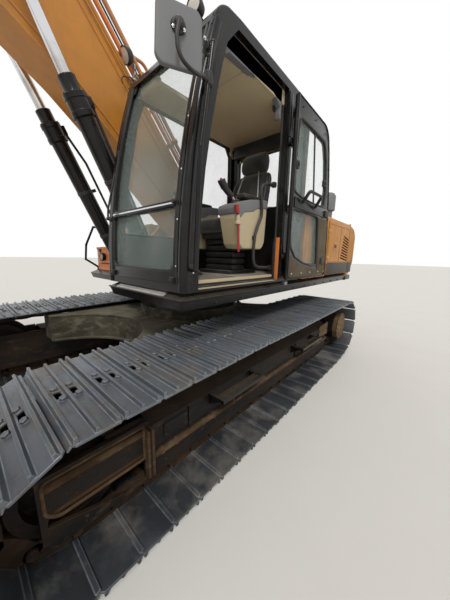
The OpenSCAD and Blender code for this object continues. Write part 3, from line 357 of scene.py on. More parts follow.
# Every kind of surface: its slot in the part and its finish. The CAD nodes take the first kind of their slot.
KINDS = {
    "yellow": ("yellow_paint", paint("yellow_paint", "c67f1b", 0.4, 0.2, 0.15, 0.3, fade="b57a3c")),
    "orange": ("yellow_paint", paint("orange_paint", "d9701f", 0.42, 0.35, 0.2, 0.4, fade="dd8a4a")),
    "bucket": ("bucket_paint", paint("bucket_paint", "55504a", 0.6, 0.5, 0.6, 0.9, edge=0.008)),
    "black": ("black_paint",
              paint("black_paint", "05070d", 0.22, 0.12, 0.06, 0.2, edge=0.002, mirror=0.25, grime=0.5)),
    "frame": ("frame_paint", earthy("frame_paint", "0d0b09", "33251a", "5e4a33", bare=0.1)),
    "dry": ("frame_paint", earthy("dry_earth", "5c4833", "6d583f", "8f7b5e", 0.9)),
    "crust": ("frame_paint", earthy("earth_crust", "33241a", "4f3a26", "7a6448", 0.9)),
    "deck": ("dusty_deck", earthy("dusty_deck", "2a2720", "4f4a3c", "7b7462", 0.85, 0.75)),
    "chain": ("track_steel", earthy("chain_steel", "1c1612", "3a2a1c", "57432e", 0.85)),
    "shoe": ("track_steel", shoe_steel("track_steel")),
    "chrome": ("chrome_rod", rod_chrome("chrome_rod", "d6d6d8")),
    "glass": ("glass", clear("glass", dust=0.22, alpha=0.1)),
    "cloth": ("seat_cloth", cloth("seat_cloth", "131315")),
    "beige": ("beige_plastic", plastic("beige_plastic", "b8a888", 0.65)),
    "dark": ("black_plastic", plastic("black_plastic", "18181a", 0.55)),
    "grey": ("grey_plastic", plastic("grey_plastic", "6d6e70", 0.6)),
    "engine": ("engine_grey", steel("engine_grey", "63615c", 0.6, 0.0, 0.5)),
    "rubber": ("black_plastic", plastic("rubber", "111112", 0.8, 300.0, 0.5)),
    "mat": ("black_plastic", plastic("floor_mat", "5b5c5e", 0.85, 200.0, 0.7)),
    "house": ("yellow_paint", paint("house_paint", "b97a1c", 0.42, 0.25, 0.7, 0.3, fade="a96d1f", grime=1.3)),
    "pipe": ("yellow_paint", paint("oil_pipe_paint", "c98a5a", 0.45, 0.35, 0.2, 0.3)),
    "stripe": ("black_paint", paint("dark_stripe", "2b2723", 0.5, 0.35, 0.1, 0.2, mirror=0.3)),
    "deckdust": ("black_paint", paint("dusty_lower_panel", "453a2b", 0.75, 0.8, 0.1, 0.2, mirror=0.2)),
    "red": ("black_plastic", plastic("red_plastic", "a3201a", 0.45)),
    "lens": ("glass", clear("lamp_lens", "d9d6c8", 0.5, 0.75)),
    "silver": ("track_steel", steel("bare_plate", "b7b6b1", 0.38, 0.6, 0.25, "8b8069", 0.5)),
}
M = {kind: finish for kind, (slot, finish) in KINDS.items()}
FROM_SLOT = {slot: kind for kind, (slot, finish) in reversed(KINDS.items())}
for node in nodes.values():
    for i, slot in enumerate(node.material_slots):
        kind = FROM_SLOT.get(slot.material.name.split(".")[0] if slot.material else "", "black")
        node.material_slots[i].material = M[kind]


# ---------- mesh building ----------
def rect(x0, y0, x1, y1, radius, steps=4):
    """Outline of a rectangle with rounded corners."""
    return rounded([(x0, y0), (x1, y0), (x1, y1), (x0, y1)], radius, steps)


def rounded(points, radius, steps=4):
    """The outline with each corner rounded; radius is one value or one for each corner."""
    result = []
    count = len(points)
    for i, p in enumerate(points):
        r = radius[i] if isinstance(radius, (list, tuple)) else radius
        a, b, c = (Vector(points[j % count][:2]) for j in (i - 1, i, i + 1))
        u, v = (a - b).normalized(), (c - b).normalized()
        half = u.angle(v, math.pi) / 2
        if r <= 0 or half > 1.55:
            result.append(tuple(b))
            continue
        reach = min(r / math.tan(half), 0.49 * (a - b).length, 0.49 * (c - b).length)
        r = reach * math.tan(half)
        centre = b + (u + v).normalized() * (r / math.sin(half))
        start, end = b + u * reach - centre, b + v * reach - centre
        turn = start.angle_signed(end, 0)
        for k in range(steps + 1):
            result.append(tuple(centre + Matrix.Rotation(-turn * k / steps, 2) @ start))
    return result


def arc(cx, cz, r, a0, a1, n=12):
    """Points on an arc from angle a0 to a1."""
    return [(cx + r * math.cos(math.radians(a0 + (a1 - a0) * i / n)),
             cz + r * math.sin(math.radians(a0 + (a1 - a0) * i / n))) for i in range(n + 1)]


def along(outline, y):
    """The points of a side outline, at y."""
    return [Vector((x, y, z)) for x, z in outline]


def circle(cx, cz, r, n=16):
    return arc(cx, cz, r, 0, 360 * (n - 1) / n, n - 1)


SIDE = Matrix(((1, 0, 0, 0), (0, 0, -1, 0), (0, 1, 0, 0), (0, 0, 0, 1)))
FACE = Matrix(((0, 0, 1, 0), (1, 0, 0, 0), (0, 1, 0, 0), (0, 0, 0, 1)))


def side_at(y):
    """The plane of a side outline at y."""
    return move(0, y, 0) @ SIDE


class Piece:
    """Gathers solids into one mesh that rides on a body. All its sizes are in millimetres.

    A solid whose kind is None has the piece's own kind; other kinds join the piece as they are used.
    """

    def __init__(self, name, body, kind, base=AT):
        self.name, self.body, self.kinds, self.base = name, body, [kind], base
        self.bm = bmesh.new()

    def kind(self, kind):
        if kind is None:
            return 0
        if kind not in self.kinds:
            self.kinds.append(kind)
        return self.kinds.index(kind)

    def merge(self, part, at=None, kind=None, bevel=0.0, segments=2, angle=30):
        """Takes in a bmesh, its faces turned outwards and its sharp edges rounded."""
        bmesh.ops.recalc_face_normals(part, faces=part.faces)
        if bevel:
            sharp = [e for e in part.edges if len(e.link_faces) == 2
                     and e.calc_face_angle(0) > math.radians(angle)]
            bmesh.ops.bevel(part, geom=sharp, offset=bevel, segments=segments, profile=0.6,
                            affect="EDGES", clamp_overlap=True)
        if at is not None:
            part.transform(at)
        index = self.kind(kind)
        for face in part.faces:
            face.material_index = index
        mesh = bpy.data.meshes.new("part")
        part.to_mesh(mesh)
        part.free()
        self.bm.from_mesh(mesh)
        bpy.data.meshes.remove(mesh)
        return self

    def solid(self, outline, depth, at=SIDE, kind=None, bevel=2.0, segments=2, angle=30):
        """An outline without holes, depth thick and centred on its plane."""
        part = bmesh.new()
        low = [part.verts.new((p[0], p[1], -depth / 2)) for p in outline]
        high = [part.verts.new((p[0], p[1], depth / 2)) for p in outline]
        part.faces.new(low[::-1])
        part.faces.new(high)
        for i in range(len(outline)):
            j = (i + 1) % len(outline)
            part.faces.new((low[i], low[j], high[j], high[i]))
        return self.merge(part, at, kind, bevel, segments, angle)

    def side(self, outline, y0, y1, kind=None, bevel=2.0, **more):
        """A side outline in X and Z, from y0 to y1."""
        return self.solid(outline, abs(y1 - y0), side_at((y0 + y1) / 2), kind, bevel, **more)

    def plan(self, outline, z0, z1, kind=None, bevel=2.0, **more):
        return self.solid(outline, abs(z1 - z0), move(0, 0, (z0 + z1) / 2), kind, bevel, **more)

    def front(self, outline, x0, x1, kind=None, bevel=2.0, **more):
        """An outline in Y and Z, from x0 to x1."""
        return self.solid(outline, abs(x1 - x0), move((x0 + x1) / 2, 0, 0) @ FACE,
                          kind, bevel, **more)

    def box(self, a, b, kind=None, bevel=2.0, at=None, segments=2):
        """A box with rounded edges from one corner to the opposite one."""
        part = bmesh.new()
        bmesh.ops.create_cube(part, size=1.0)
        size = [abs(b[i] - a[i]) for i in range(3)]
        middle = [(a[i] + b[i]) / 2 for i in range(3)]
        part.transform(Matrix.Translation(middle) @ Matrix.Diagonal((*size, 1)))
        return self.merge(part, at, kind, min(bevel, 0.45 * min(size)), segments)

    def studs(self, xs, ys, z, length, width, kind="silver", bevel=3.0):
        """Rows of low studs, 6 mm high, on a tread plate."""
        for x in xs:
            for y in ys:
                self.box((x, y, z), (x + length, y + width, z + 6), kind, bevel, None, 1)

    def sheet(self, outline, holes, depth, at=SIDE, kind=None, bevel=2.0, resolution=1):
        """A plate with holes cut through it and rounded edges, depth thick and centred on its plane."""
        data = bpy.data.curves.new("plate", "CURVE")
        data.dimensions = "2D"
        data.fill_mode = "BOTH"
        for path in [outline, *holes]:
            spline = data.splines.new("POLY")
            spline.points.add(len(path) - 1)
            for point, q in zip(spline.points, path):
                point.co = (q[0], q[1], 0, 1)
            spline.use_cyclic_u = True
        data.extrude = depth / 2 - bevel
        data.bevel_depth = bevel
        data.bevel_resolution = resolution
        data.offset = -bevel
        obj = bpy.data.objects.new("plate", data)
        mesh = bpy.data.meshes.new_from_object(obj)
        part = bmesh.new()
        part.from_mesh(mesh)
        bmesh.ops.remove_doubles(part, verts=part.verts, dist=0.01)
        for item, store in ((obj, bpy.data.objects), (data, bpy.data.curves), (mesh, bpy.data.meshes)):
            store.remove(item)
        return self.merge(part, at, kind)

    def spin(self, profile, at, kind=None, steps=32, closed=True):
        """A solid of revolution about the X axis of at; profile holds (along, radius) points.

        A closed one runs straight to the axis at both ends, an open one ends in flat faces.
        """
        if closed:
            first, last = profile[0], profile[-1]
            profile = [(first[0], 0)] * (first[1] > 0) + profile + [(last[0], 0)] * (last[1] > 0)
        part = bmesh.new()
        rings = []
        for along, radius in profile:
            if radius < 1e-6:
                rings.append([part.verts.new((along, 0, 0))])
            else:
                rings.append([part.verts.new((along, radius * math.cos(t), radius * math.sin(t)))
                              for t in (2 * math.pi * k / steps for k in range(steps))])
        for a, b in zip(rings, rings[1:]):
            for k in range(steps):
                quad = [a[k % len(a)], a[(k + 1) % len(a)], b[(k + 1) % len(b)], b[k % len(b)]]
                quad = list(dict.fromkeys(quad))
                if len(quad) > 2:
                    part.faces.new(quad)
        for ring in (rings[0], rings[-1]):
            if len(ring) > 1:
                part.faces.new(ring)
        return self.merge(part, at, kind)

    def bar(self, a, b, r, kind=None, steps=20, bevel=2.0, at=None):
        """A round bar from a to b with rounded ends."""
        a, b = Vector(a), Vector(b)
        length = (b - a).length
        bevel = min(bevel, r * 0.6, length * 0.3)
        turn = Matrix.Translation(a) @ (b - a).to_track_quat("X", "Z").to_matrix().to_4x4()
        soft = 0.3 * bevel
        profile = [(0, r - bevel), (soft, r - soft), (bevel, r), (length - bevel, r),
                   (length - soft, r - soft), (length, r - bevel)]
        return self.spin(profile, turn if at is None else at @ turn, kind, steps)

    def bolt(self, at, r, h, kind=None, washer=True):
        """A hexagon bolt head on a washer, its axis along the X axis of at."""
        if washer:
            self.spin([(0, r * 1.45), (h * 0.2, r * 1.45), (h * 0.25, r * 1.35)], at, kind, 16)
        self.spin([(0, r), (h * 0.8, r), (h, r * 0.85)], at, kind, 6)
        return self

    def bolt_ring(self, at, count, ring, r, h, kind=None, first=0.0, washer=False):
        """Bolt heads on a circle about the X axis of at, the first one turned by first steps."""
        for k in range(count):
            a = 2 * math.pi * (k + first) / count
            self.bolt(at @ move(0, ring * math.cos(a), ring * math.sin(a)), r, h, kind, washer)

    def pipe(self, points, r, kind=None, bend=0.0, steps=12, closed=False, at=None, section=None):
        """A tube along points, its corners rounded with radius bend; section replaces the round outline."""
        path = soften([Vector(p) for p in points], bend, closed)
        part = bmesh.new()
        ring_of = section or [(r * math.cos(2 * math.pi * k / steps), r * math.sin(2 * math.pi * k / steps))
                              for k in range(steps)]
        rings = []
        count = len(path)
        side = None
        for i, p in enumerate(path):
            before = path[(i - 1) % count] if closed or i else p
            after = path[(i + 1) % count] if closed or i < count - 1 else p
            ahead_dir = (after - before).normalized()
            if side is None:
                side = Vector((0, 1, 0)) if abs(ahead_dir.y) < 0.9 else Vector((0, 0, 1))
            side = (side - ahead_dir * side.dot(ahead_dir)).normalized()
            third = ahead_dir.cross(side)
            rings.append([part.verts.new(p + side * q[0] + third * q[1]) for q in ring_of])
        for i in range(count if closed else count - 1):
            a, b = rings[i], rings[(i + 1) % count]
            for k in range(len(ring_of)):
                j = (k + 1) % len(ring_of)
                part.faces.new((a[k], a[j], b[j], b[k]))
        if not closed:
            part.faces.new(rings[0][::-1])
            part.faces.new(rings[-1])
        return self.merge(part, at, kind)

    def copies(self, makers, places):
        """Repeats what a small piece holds at each place."""
        mesh = bpy.data.meshes.new("unit")
        makers.bm.to_mesh(mesh)
        index = [self.kind(k) for k in makers.kinds]
        for place in places:
            unit = bmesh.new()
            unit.from_mesh(mesh)
            unit.transform(place)
            for face in unit.faces:
                face.material_index = index[face.material_index]
            again = bpy.data.meshes.new("unit")
            unit.to_mesh(again)
            unit.free()
            self.bm.from_mesh(again)
            bpy.data.meshes.remove(again)
        bpy.data.meshes.remove(mesh)
        return self

    def make(self, *replaced, slot=None, angle=32):
        """Turns what was gathered into an object that stands for the CAD nodes named in replaced."""
        mesh = bpy.data.meshes.new(self.name)
        self.bm.transform(self.base)
        self.bm.to_mesh(mesh)
        self.bm.free()
        mesh.shade_smooth()
        mesh.set_sharp_from_angle(angle=math.radians(angle))
        obj = bpy.data.objects.new(self.name, mesh)
        bpy.context.scene.collection.objects.link(obj)
        for kind in self.kinds:
            mesh.materials.append(M[kind])
        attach(obj, self.body)
        if replaced:
            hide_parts(*replaced)
        return obj


def soften(path, bend, closed=False, steps=5):
    """The path with its corners rounded."""
    if not bend:
        return path
    result = []
    count = len(path)
    for i, p in enumerate(path):
        if not closed and i in (0, count - 1):
            result.append(p)
            continue
        a, c = path[(i - 1) % count], path[(i + 1) % count]
        u, v = a - p, c - p
        angle = u.angle(v, math.pi)
        if angle > 3.1:
            result.append(p)
            continue
        reach = min(bend / math.tan(angle / 2), 0.45 * u.length, 0.45 * v.length)
        s, e = p + u.normalized() * reach, p + v.normalized() * reach
        for k in range(steps + 1):
            t = k / steps
            result.append(s * (1 - t) ** 2 + p * 2 * t * (1 - t) + e * t * t)
    return result


def beside(x, y, z, side):
    """A place y out from the middle plane on one side, its own X axis pointing outwards."""
    return at(x, side * y, z, "Y" if side > 0 else "-Y")


def yaw(degrees):
    return Matrix.Rotation(math.radians(degrees), 4, "Z")


def at(x, y, z, axis="X", turn=0.0):
    """A place whose own X axis points along axis, such as -Y, in millimetres."""
    direction = Vector({"X": (1, 0, 0), "Y": (0, 1, 0), "Z": (0, 0, 1)}[axis[-1]])
    if axis[0] == "-":
        direction = -direction
    return (Matrix.Translation((x, y, z)) @ direction.to_track_quat("X", "Z").to_matrix().to_4x4()
            @ Matrix.Rotation(math.radians(turn), 4, "X"))


# ---------- tracks ----------
SHOE_OUT, SHOE_T, GROUSER = 68, 12, 26
LINK_Y = 82.5
GROUND_PIN_Z = SHOE_OUT + GROUSER
TOP_PIN_Z = IDLER[1] + PIN_R + 20
chain_line = (arc(*IDLER, PIN_R, -90, 90, 18) + [(680, TOP_PIN_Z), (0, TOP_PIN_Z - 5), (-680, TOP_PIN_Z)]
              + arc(*SPROCKET, PIN_R, 90, 270, 18) + [(-1430, GROUND_PIN_Z), (1430, GROUND_PIN_Z)])
chain_line = [Vector(p) for p in chain_line]
lengths = [(chain_line[(i + 1) % len(chain_line)] - p).length for i, p in enumerate(chain_line)]
PITCH = sum(lengths) / SHOE_COUNT


def on_chain(distance):
    """The point of the chain line that lies distance along it."""
    for i, length in enumerate(lengths):
        if distance <= length:
            return chain_line[i].lerp(chain_line[(i + 1) % len(chain_line)], distance / length)
        distance -= length
    return chain_line[0]


def track_shoe():
    """One shoe with its two links, from its front pin at the origin along +X, outwards +Z."""
    p = Piece("unit", None, "shoe")
    half = SHOE_W / 2
    holes = [rect(x, -38, x + 30, 38, 6, 2) for x in (46, 114)]
    plate = [(2, -half + 14), (16, -half), (PITCH - 10, -half), (PITCH + 6, -half + 16),
             (PITCH + 6, half - 16), (PITCH - 10, half), (16, half), (2, half - 14)]
    p.sheet(plate, holes, SHOE_T, move(0, 0, SHOE_OUT - 6), "shoe", 2)
    p.solid([(-13, SHOE_OUT - 24), (-8, SHOE_OUT - 26), (10, SHOE_OUT - 11), (10, SHOE_OUT - 4),
             (2, SHOE_OUT - 3)], 2 * half - 30, SIDE, "shoe", 1.5)
    for i, u in enumerate((17, 95, 173)):
        h = GROUSER - (0, 5, 3)[i]
        low = SHOE_OUT - 3
        bar = [(u - 14, low), (u - 9, SHOE_OUT + 6), (u - 7, SHOE_OUT + h), (u + 7, SHOE_OUT + h),
               (u + 9, SHOE_OUT + 6), (u + 14, low)]
        p.solid(bar, SHOE_W - 4 - 8 * (i == 1), SIDE, "shoe", 3, 2, 20)
    for u in (61, 129):
        for y in (-60, 60):
            p.bolt(at(u + y / 12, y, SHOE_OUT - 1, "Z", 15), 17, 17, None, False)
    for s in (-1, 1):
        body = rounded([(-34, -20), (-22, -42), (22, -44), (70, -50), (PITCH - 70, -50), (PITCH - 22, -42),
                        (PITCH + 30, -24), (PITCH + 30, 20), (PITCH, 40), (PITCH - 24, SHOE_OUT - 13),
                        (24, SHOE_OUT - 13), (-10, 34), (-34, 16)], 14, 2)
        p.side(body, s * LINK_Y - 20, s * LINK_Y + 20, "chain", 3, segments=1)
        p.bar((0, s * (LINK_Y + 14), 0), (0, s * (LINK_Y + 36), 0), 24, "chain", 16, 3)
    p.bar((0, -LINK_Y, 0), (0, LINK_Y, 0), 29, "chain", 16, 1)
    return p


unit = track_shoe()
shoe_places = []
for k in range(SHOE_COUNT):
    a, b = on_chain(k * PITCH), on_chain(((k + 1) % SHOE_COUNT) * PITCH)
    d = (b - a).normalized()
    out = Vector((d.y, -d.x))
    shoe_places.append(Matrix(((d.x, 0, out.x, a.x), (0, 1, 0, 0), (d.y, 0, out.y, a.y), (0, 0, 0, 1))))
for side, word in ((1, "left"), (-1, "right")):
    loop = Piece("shoes_" + word, "undercarriage", "shoe")
    loop.copies(unit, [move(0, side * TRACK_Y, 0) @ m for m in shoe_places])
    loop.make("track_" + word)
unit.bm.free()


# ---------- skirt round the platform ----------
MID_Z = 1208
SKIRT_FRONT = 1205
skirt = Piece("skirt_trim", "upper", "black")
for x0, y0, x1, y1 in ((SKIRT_FRONT, 330, SKIRT_FRONT, SIDE_Y), (SKIRT_FRONT, SIDE_Y, -2270, SIDE_Y)):
    skirt.pipe([(x0, y0, MID_Z), (x1, y1, MID_Z)], 7, None, 0, 10)
tread = move(SKIRT_FRONT - 35, 0, 1229, -31)
skirt.box((-42, 450, -2), (42, 1130, 4), "silver", 2, tread)
for i in range(34):
    for k in (-27, 0, 27):
        y = 464 + i * 19.4 + (9.7 if k == 0 else 0)
        skirt.box((k - 10, y, 3), (k + 10, y + 9, 9), "silver", 3, tread, 1)
for y in (468, 790, 1112):
    for k in (-36, 36):
        skirt.bolt(tread @ at(k, y, 3, "Z"), 5, 4, "chrome", False)
for x in range(900, -2200, -310):
    skirt.bolt(at(x, SIDE_Y - 14, 1160, "Y"), 9, 8, "black")
skirt.box((-150, SIDE_Y - 40, 1206), (-95, SIDE_Y + 4, 1246), "silver", 4)
skirt.make()


# ---------- undercarriage: frames, steps, drives and carbody ----------
FRAME_IN, FRAME_OUT, FRAME_LOW, FRAME_TOP = 1020, 1370, 330, 575
FRAME_REAR, FRAME_FRONT = -1430, 1480
under = Piece("frame_trim", "undercarriage", "frame")
for side in (1, -1):
    out, inner = side * FRAME_OUT, side * FRAME_IN

    def wall(x, z, depth=0.0):
        return beside(x, FRAME_OUT + depth, z, side)

    under.box((FRAME_REAR, out, FRAME_LOW - 12),
              (FRAME_FRONT + 12, side * (FRAME_OUT + 32), FRAME_LOW + 12), "crust", 5)
    under.box((FRAME_REAR, out, FRAME_LOW + 12),
              (FRAME_FRONT, side * (FRAME_OUT + 6), FRAME_LOW + 22), None, 3)
    for i in range(9):
        x = (i / 8 - 0.5) * 2700
        under.box((x - 74, side * (FRAME_OUT - 60), 255),
                  (x + 74, side * (FRAME_OUT - 4), FRAME_LOW - 12), "chain", 14)
        for dx in (-52, 52):
            under.bolt(at(x + dx, side * (FRAME_OUT + 14), FRAME_LOW - 12, "-Z"), 13, 14, "crust")
            under.bolt(at(x + dx, side * (FRAME_OUT + 14), FRAME_LOW + 12, "Z"), 12, 9, "crust")
    for x in (FRAME_FRONT - 6, FRAME_FRONT + 22):
        under.box((x - 8, out, 226), (x + 8, side * (FRAME_OUT + 44), FRAME_TOP - 52), "crust", 4)
    under.pipe([(FRAME_REAR + 10, out, FRAME_TOP - 58), (FRAME_FRONT - 20, out, FRAME_TOP - 58)], 7, None, 0,
               8)
    for x in (1180, -420, -1150):
        under.box((x - 7, out, FRAME_LOW + 14), (x + 7, side * (FRAME_OUT + 12), FRAME_TOP - 62), None, 3)

    # Tension valve cover, rear guard and the ribs of the inner side
    under.side(rect(1200, 390, 1380, 480, 18), out, side * (FRAME_OUT + 8), None, 3)
    for x, z in ((1214, 404), (1366, 404), (1214, 466), (1366, 466)):
        under.bolt(wall(x, z, 8), 8, 6)
    under.side([(-1500, 560), (-1180, 548), (-1130, 470), (-1190, 396), (-1500, 380)], out,
               side * (FRAME_OUT + 9), "dry", 4)
    for x in (-1450, -1300, -1180):
        under.bolt(wall(x, 470, 9), 12, 9, "crust")
    for x in (-1250, -700, 700, 1250):
        under.box((x - 10, inner, FRAME_LOW + 6), (x + 10, inner - side * 26, FRAME_TOP - 6), None, 4)
    # Yoke bars and grease-caked spring housing behind the windows of the frame's nose
    for z, r in ((532, 17), (470, 30), (400, 26), (340, 18)):
        under.pipe([(1478, side * 1338, z), (1990, side * 1338, z + 4)], r, "crust", 0, 12)
    under.box((1484, side * 1300, 300), (1700, side * 1336, 560), "chain", 20, None, 3)
    rim = [(1510, 336), (1930, 336), (1975, 380), (1978, 540), (1510, 540)]
    under.pipe(along(rounded(rim, [10, 70, 40, 26, 10], 5), out), 8, "crust", 0, 8, True)
    # Final drive: cap with its ring of bolts
    x, z = SPROCKET
    drive = beside(x, TRACK_Y + 285, z, side)
    under.spin([(-60, 205), (-8, 205), (0, 198), (4, 150), (12, 140), (12, 60), (20, 52), (20, 0), (-60, 0)],
               drive, "dry", 56, closed=False)
    under.bolt_ring(drive, 16, 176, 11, 12, "dry")
    # Steps: tread with gussets at both ends
    for x0, x1 in ((480, 1000), (-850, -300)):
        loop = [(x0 + 12, out, 502), (x0 + 12, side * (FRAME_OUT + 136), 502),
                (x1 - 12, side * (FRAME_OUT + 136), 502), (x1 - 12, out, 502)]
        under.pipe(loop, 1, "black", 40, section=[(-12, -12), (12, -12), (14, 0), (12, 12),
                                                  (-12, 12), (-14, 0)])
        under.box((x0 + 20, side * (FRAME_OUT + 58), 500),
                  (x1 - 20, side * (FRAME_OUT + 128), 508), "black", 3)
        for x in (x0 + 12, x1 - 12):
            gusset = [(side * FRAME_OUT, 428), (side * FRAME_OUT, 515), (side * (FRAME_OUT + 130), 512),
                      (side * (FRAME_OUT + 130), 494)]
            under.front(gusset, x - 6, x + 6, "black", 2)
        rows = [side * (FRAME_OUT + k) for k in (68, 92, 116)]
        under.studs([x0 + 36 + i * 34 for i in range((x1 - x0 - 60) // 34)], rows, 507, 16,
                    side * 8, "crust", 2)
under.make()

body = Piece("carbody_trim", "undercarriage", "deck")
RECESS_X, RECESS_R, BODY_TOP, BODY_BASE = 1575, 760, 765, 470
for side in (1, -1):
    for z, r0, thick in ((BODY_BASE + 10, RECESS_R - 16, 10), (BODY_TOP - 8, RECESS_R - 5, 7)):
        bend = [(side * (RECESS_X - x), y, z) for x, y in arc(0, 0, r0, -78, 78, 40)]
        width = 17 if z < 600 else 6
        body.pipe(bend, 1, "deck", 0, section=rect(-width, -thick, width, thick, 0))
for k in range(40):
    a = 2 * math.pi * (k + 0.5) / 40
    body.bolt(at(688 * math.cos(a), 688 * math.sin(a), BODY_TOP, "Z"), 13, 14, "crust")
body.spin([(0, 664), (0, 716), (7, 716), (9, 712), (9, 664)], at(0, 0, BODY_TOP, "Z"),
          "deck", 96, closed=False)
for x, y in ((1250, 860), (1250, -860), (-1250, 860), (-1250, -860)):
    body.spin([(0, 46), (8, 44), (10, 0)], at(x, y, BODY_TOP, "Z"), "engine", 24)
body.make()


# ---------- cab shell ----------
def front_x(z):
    """Where the cab's outer front line lies at the height z."""
    return CAB_FRONT - (z - CAB_BASE) ** 2 / FRONT_CURVE


def front_line(z0, z1, inwards=0.0, n=12):
    return [(front_x(z) - inwards, z) for z in (z0 + (z1 - z0) * i / n for i in range(n + 1))]


def front_band(z0, z1, deep, shallow=0.0):
    """Side outline of a band of the front between two depths under the outer line."""
    return front_line(z0, z1, shallow) + front_line(z0, z1, deep)[::-1]


def roof_curve(low, depth, n):
    """Front edge of the roof from the height low upwards, depth under its outer line."""
    return front_line(low, FRONT_TOP, depth, n)[:-1] + arc(775 - depth, 2810, 150, 15, 75, 6)


def ribbed(p, y, section, z0, z1, side=1, kind=None):
    """A rib up the front, its section given as (sideways, outwards) points around y."""
    p.pipe(along(front_line(z0, z1, 0, 16), y), 1, kind, section=[(side * a, -b) for a, b in section])


STRIP, RIB_TOP = 95, 2840
GLASS_LOW, WAIST, GLASS_TOP = 1390, 1800, 2830
inner_rib = [(-12, -4), (-12, 5), (-8, 9), (8, 9), (12, 5), (12, -4)]
wide_rib = [(-26, -4), (-25, 6), (-18, 13), (0, 16), (18, 13), (25, 6), (26, -4)]
corner_rib = [(-46, -3), (-43, 6), (-34, 11), (-18, 12), (-4, 7), (5, -4), (9, -18), (10, -34), (6, -46),
              (-3, -46), (-3, -12), (-14, -3)]
pillars = Piece("cab_pillars", "upper", "black")
for y, side in ((CAB_LEFT, 1), (CAB_RIGHT, -1)):
    ribbed(pillars, y, corner_rib, CAB_BASE + 4, FRONT_TOP, side)
    ribbed(pillars, y - side * 62, wide_rib if side < 0 else inner_rib, SILL + 4, RIB_TOP, side)
    ribbed(pillars, y - side * 88, [(-9, -3), (-7, 5), (7, 5), (9, -3)], SILL + 10, RIB_TOP, side, "rubber")
    pillars.side(front_band(SILL, RIB_TOP, 76, 50), y - 3, y + 3 if side > 0 else y - 5, "rubber", 1)
    for z in (1420, 1700, 1990, 2290, 2590):
        pillars.bolt(at(front_x(z) + 6, y - side * 62, z, "X", 10), 6, 5, "chrome" if side > 0 else "dark")
pillars.side(front_band(WAIST - 19, WAIST + 19, 30, -14), CAB_RIGHT + STRIP - 4,
             CAB_LEFT - STRIP + 4, None, 5)
pillars.side(front_band(WAIST - 6, WAIST + 4, 0, -19), CAB_RIGHT + STRIP, CAB_LEFT - STRIP, "chrome", 2)
pillars.bar((front_x(WAIST) + 8, CAB_LEFT - STRIP + 2, WAIST + 6),
            (front_x(WAIST) + 34, CAB_LEFT - STRIP + 2, WAIST + 6), 13, "dark")
pillars.side(front_band(SILL - 6, GLASS_LOW - 8, 20, -6), CAB_RIGHT + 20, CAB_LEFT - 20, None, 5)
for y in (CAB_RIGHT + 60, CAB_LEFT - 120):
    pillars.box((front_x(1330) + 2, y, 1306), (front_x(1330) + 24, y + 44, 1350), "rubber", 8)
    pillars.bolt(at(front_x(1330) + 24, y + 22, 1328), 8, 6, "dark")
for z0, z1, radius in ((GLASS_LOW, WAIST - 18, 70), (WAIST + 18, GLASS_TOP, 42)):
    for up in (0, 1):
        z = z1 if up else z0
        tilt = math.degrees(math.atan(2 * (z - CAB_BASE) / FRONT_CURVE))
        for y, side in ((CAB_LEFT - STRIP, -1), (CAB_RIGHT + STRIP, 1)):
            flip = Matrix.Diagonal((side, -1 if up else 1, 1, 1))
            place = move(front_x(z) - 6, y, z, tilt) @ FACE @ flip
            r = radius if not (up and z1 == WAIST - 18) else 40
            pillars.solid([(-4, -4), (r, -4)] + arc(r, r, r, -90, -180, 8) + [(-4, r)], 20, place, None, 1)
pillars.make()

LEFT_WINDOW = [(-375, 1860), (-85, 1860), (-85, 2780), (-320, 2780), (-375, 2700)]
RIGHT_WINDOW = [(-360, 1660), (1061, 1660), (1020, 2000), (890, 2600), (815, 2790),
                (-300, 2790), (-360, 2700)]

# Panes of the front, the sides and the rear, and their seals
panes = Piece("front_glass", "upper", "glass")
for z0, z1 in ((GLASS_LOW - 4, WAIST - 16), (WAIST + 16, GLASS_TOP + 4)):
    panes.side(front_band(z0, z1, 26, 20), CAB_RIGHT + STRIP - 3, CAB_LEFT - STRIP + 3, None, 0.5)
for y, window in ((CAB_RIGHT + 20, RIGHT_WINDOW), (CAB_LEFT - 20, LEFT_WINDOW)):
    panes.side(window, y - 3, y + 3, None, 0.5)
panes.box((CAB_REAR + 25, CAB_RIGHT + 131, 2051), (CAB_REAR + 31, CAB_LEFT - 131, 2649), None, 0.5)
panes.make("cab_glass")

seals = Piece("cab_seals", "upper", "rubber")
door_front = [(front_x(z) - 125, z) for z in (1275, 1475, 1745, 2015, 2285, 2555, 2777)]
doorway = [(19, 1269)] + door_front + [(front_x(2897) - 155, 2900), (19, 2903)]
seals.pipe(along(doorway, CAB_LEFT - 52), 10, None, 18, 10, True)
for y, window in ((CAB_LEFT - 18, LEFT_WINDOW), (CAB_RIGHT + 18, RIGHT_WINDOW)):
    seals.pipe(along(window, y), 9, None, 40, 8, True)
rear_window = [(CAB_REAR, y, z) for y, z in rect(450, 2050, 1198, 2650, 0)]
seals.pipe(rear_window, 10, None, 50, 8, True)
seals.make()

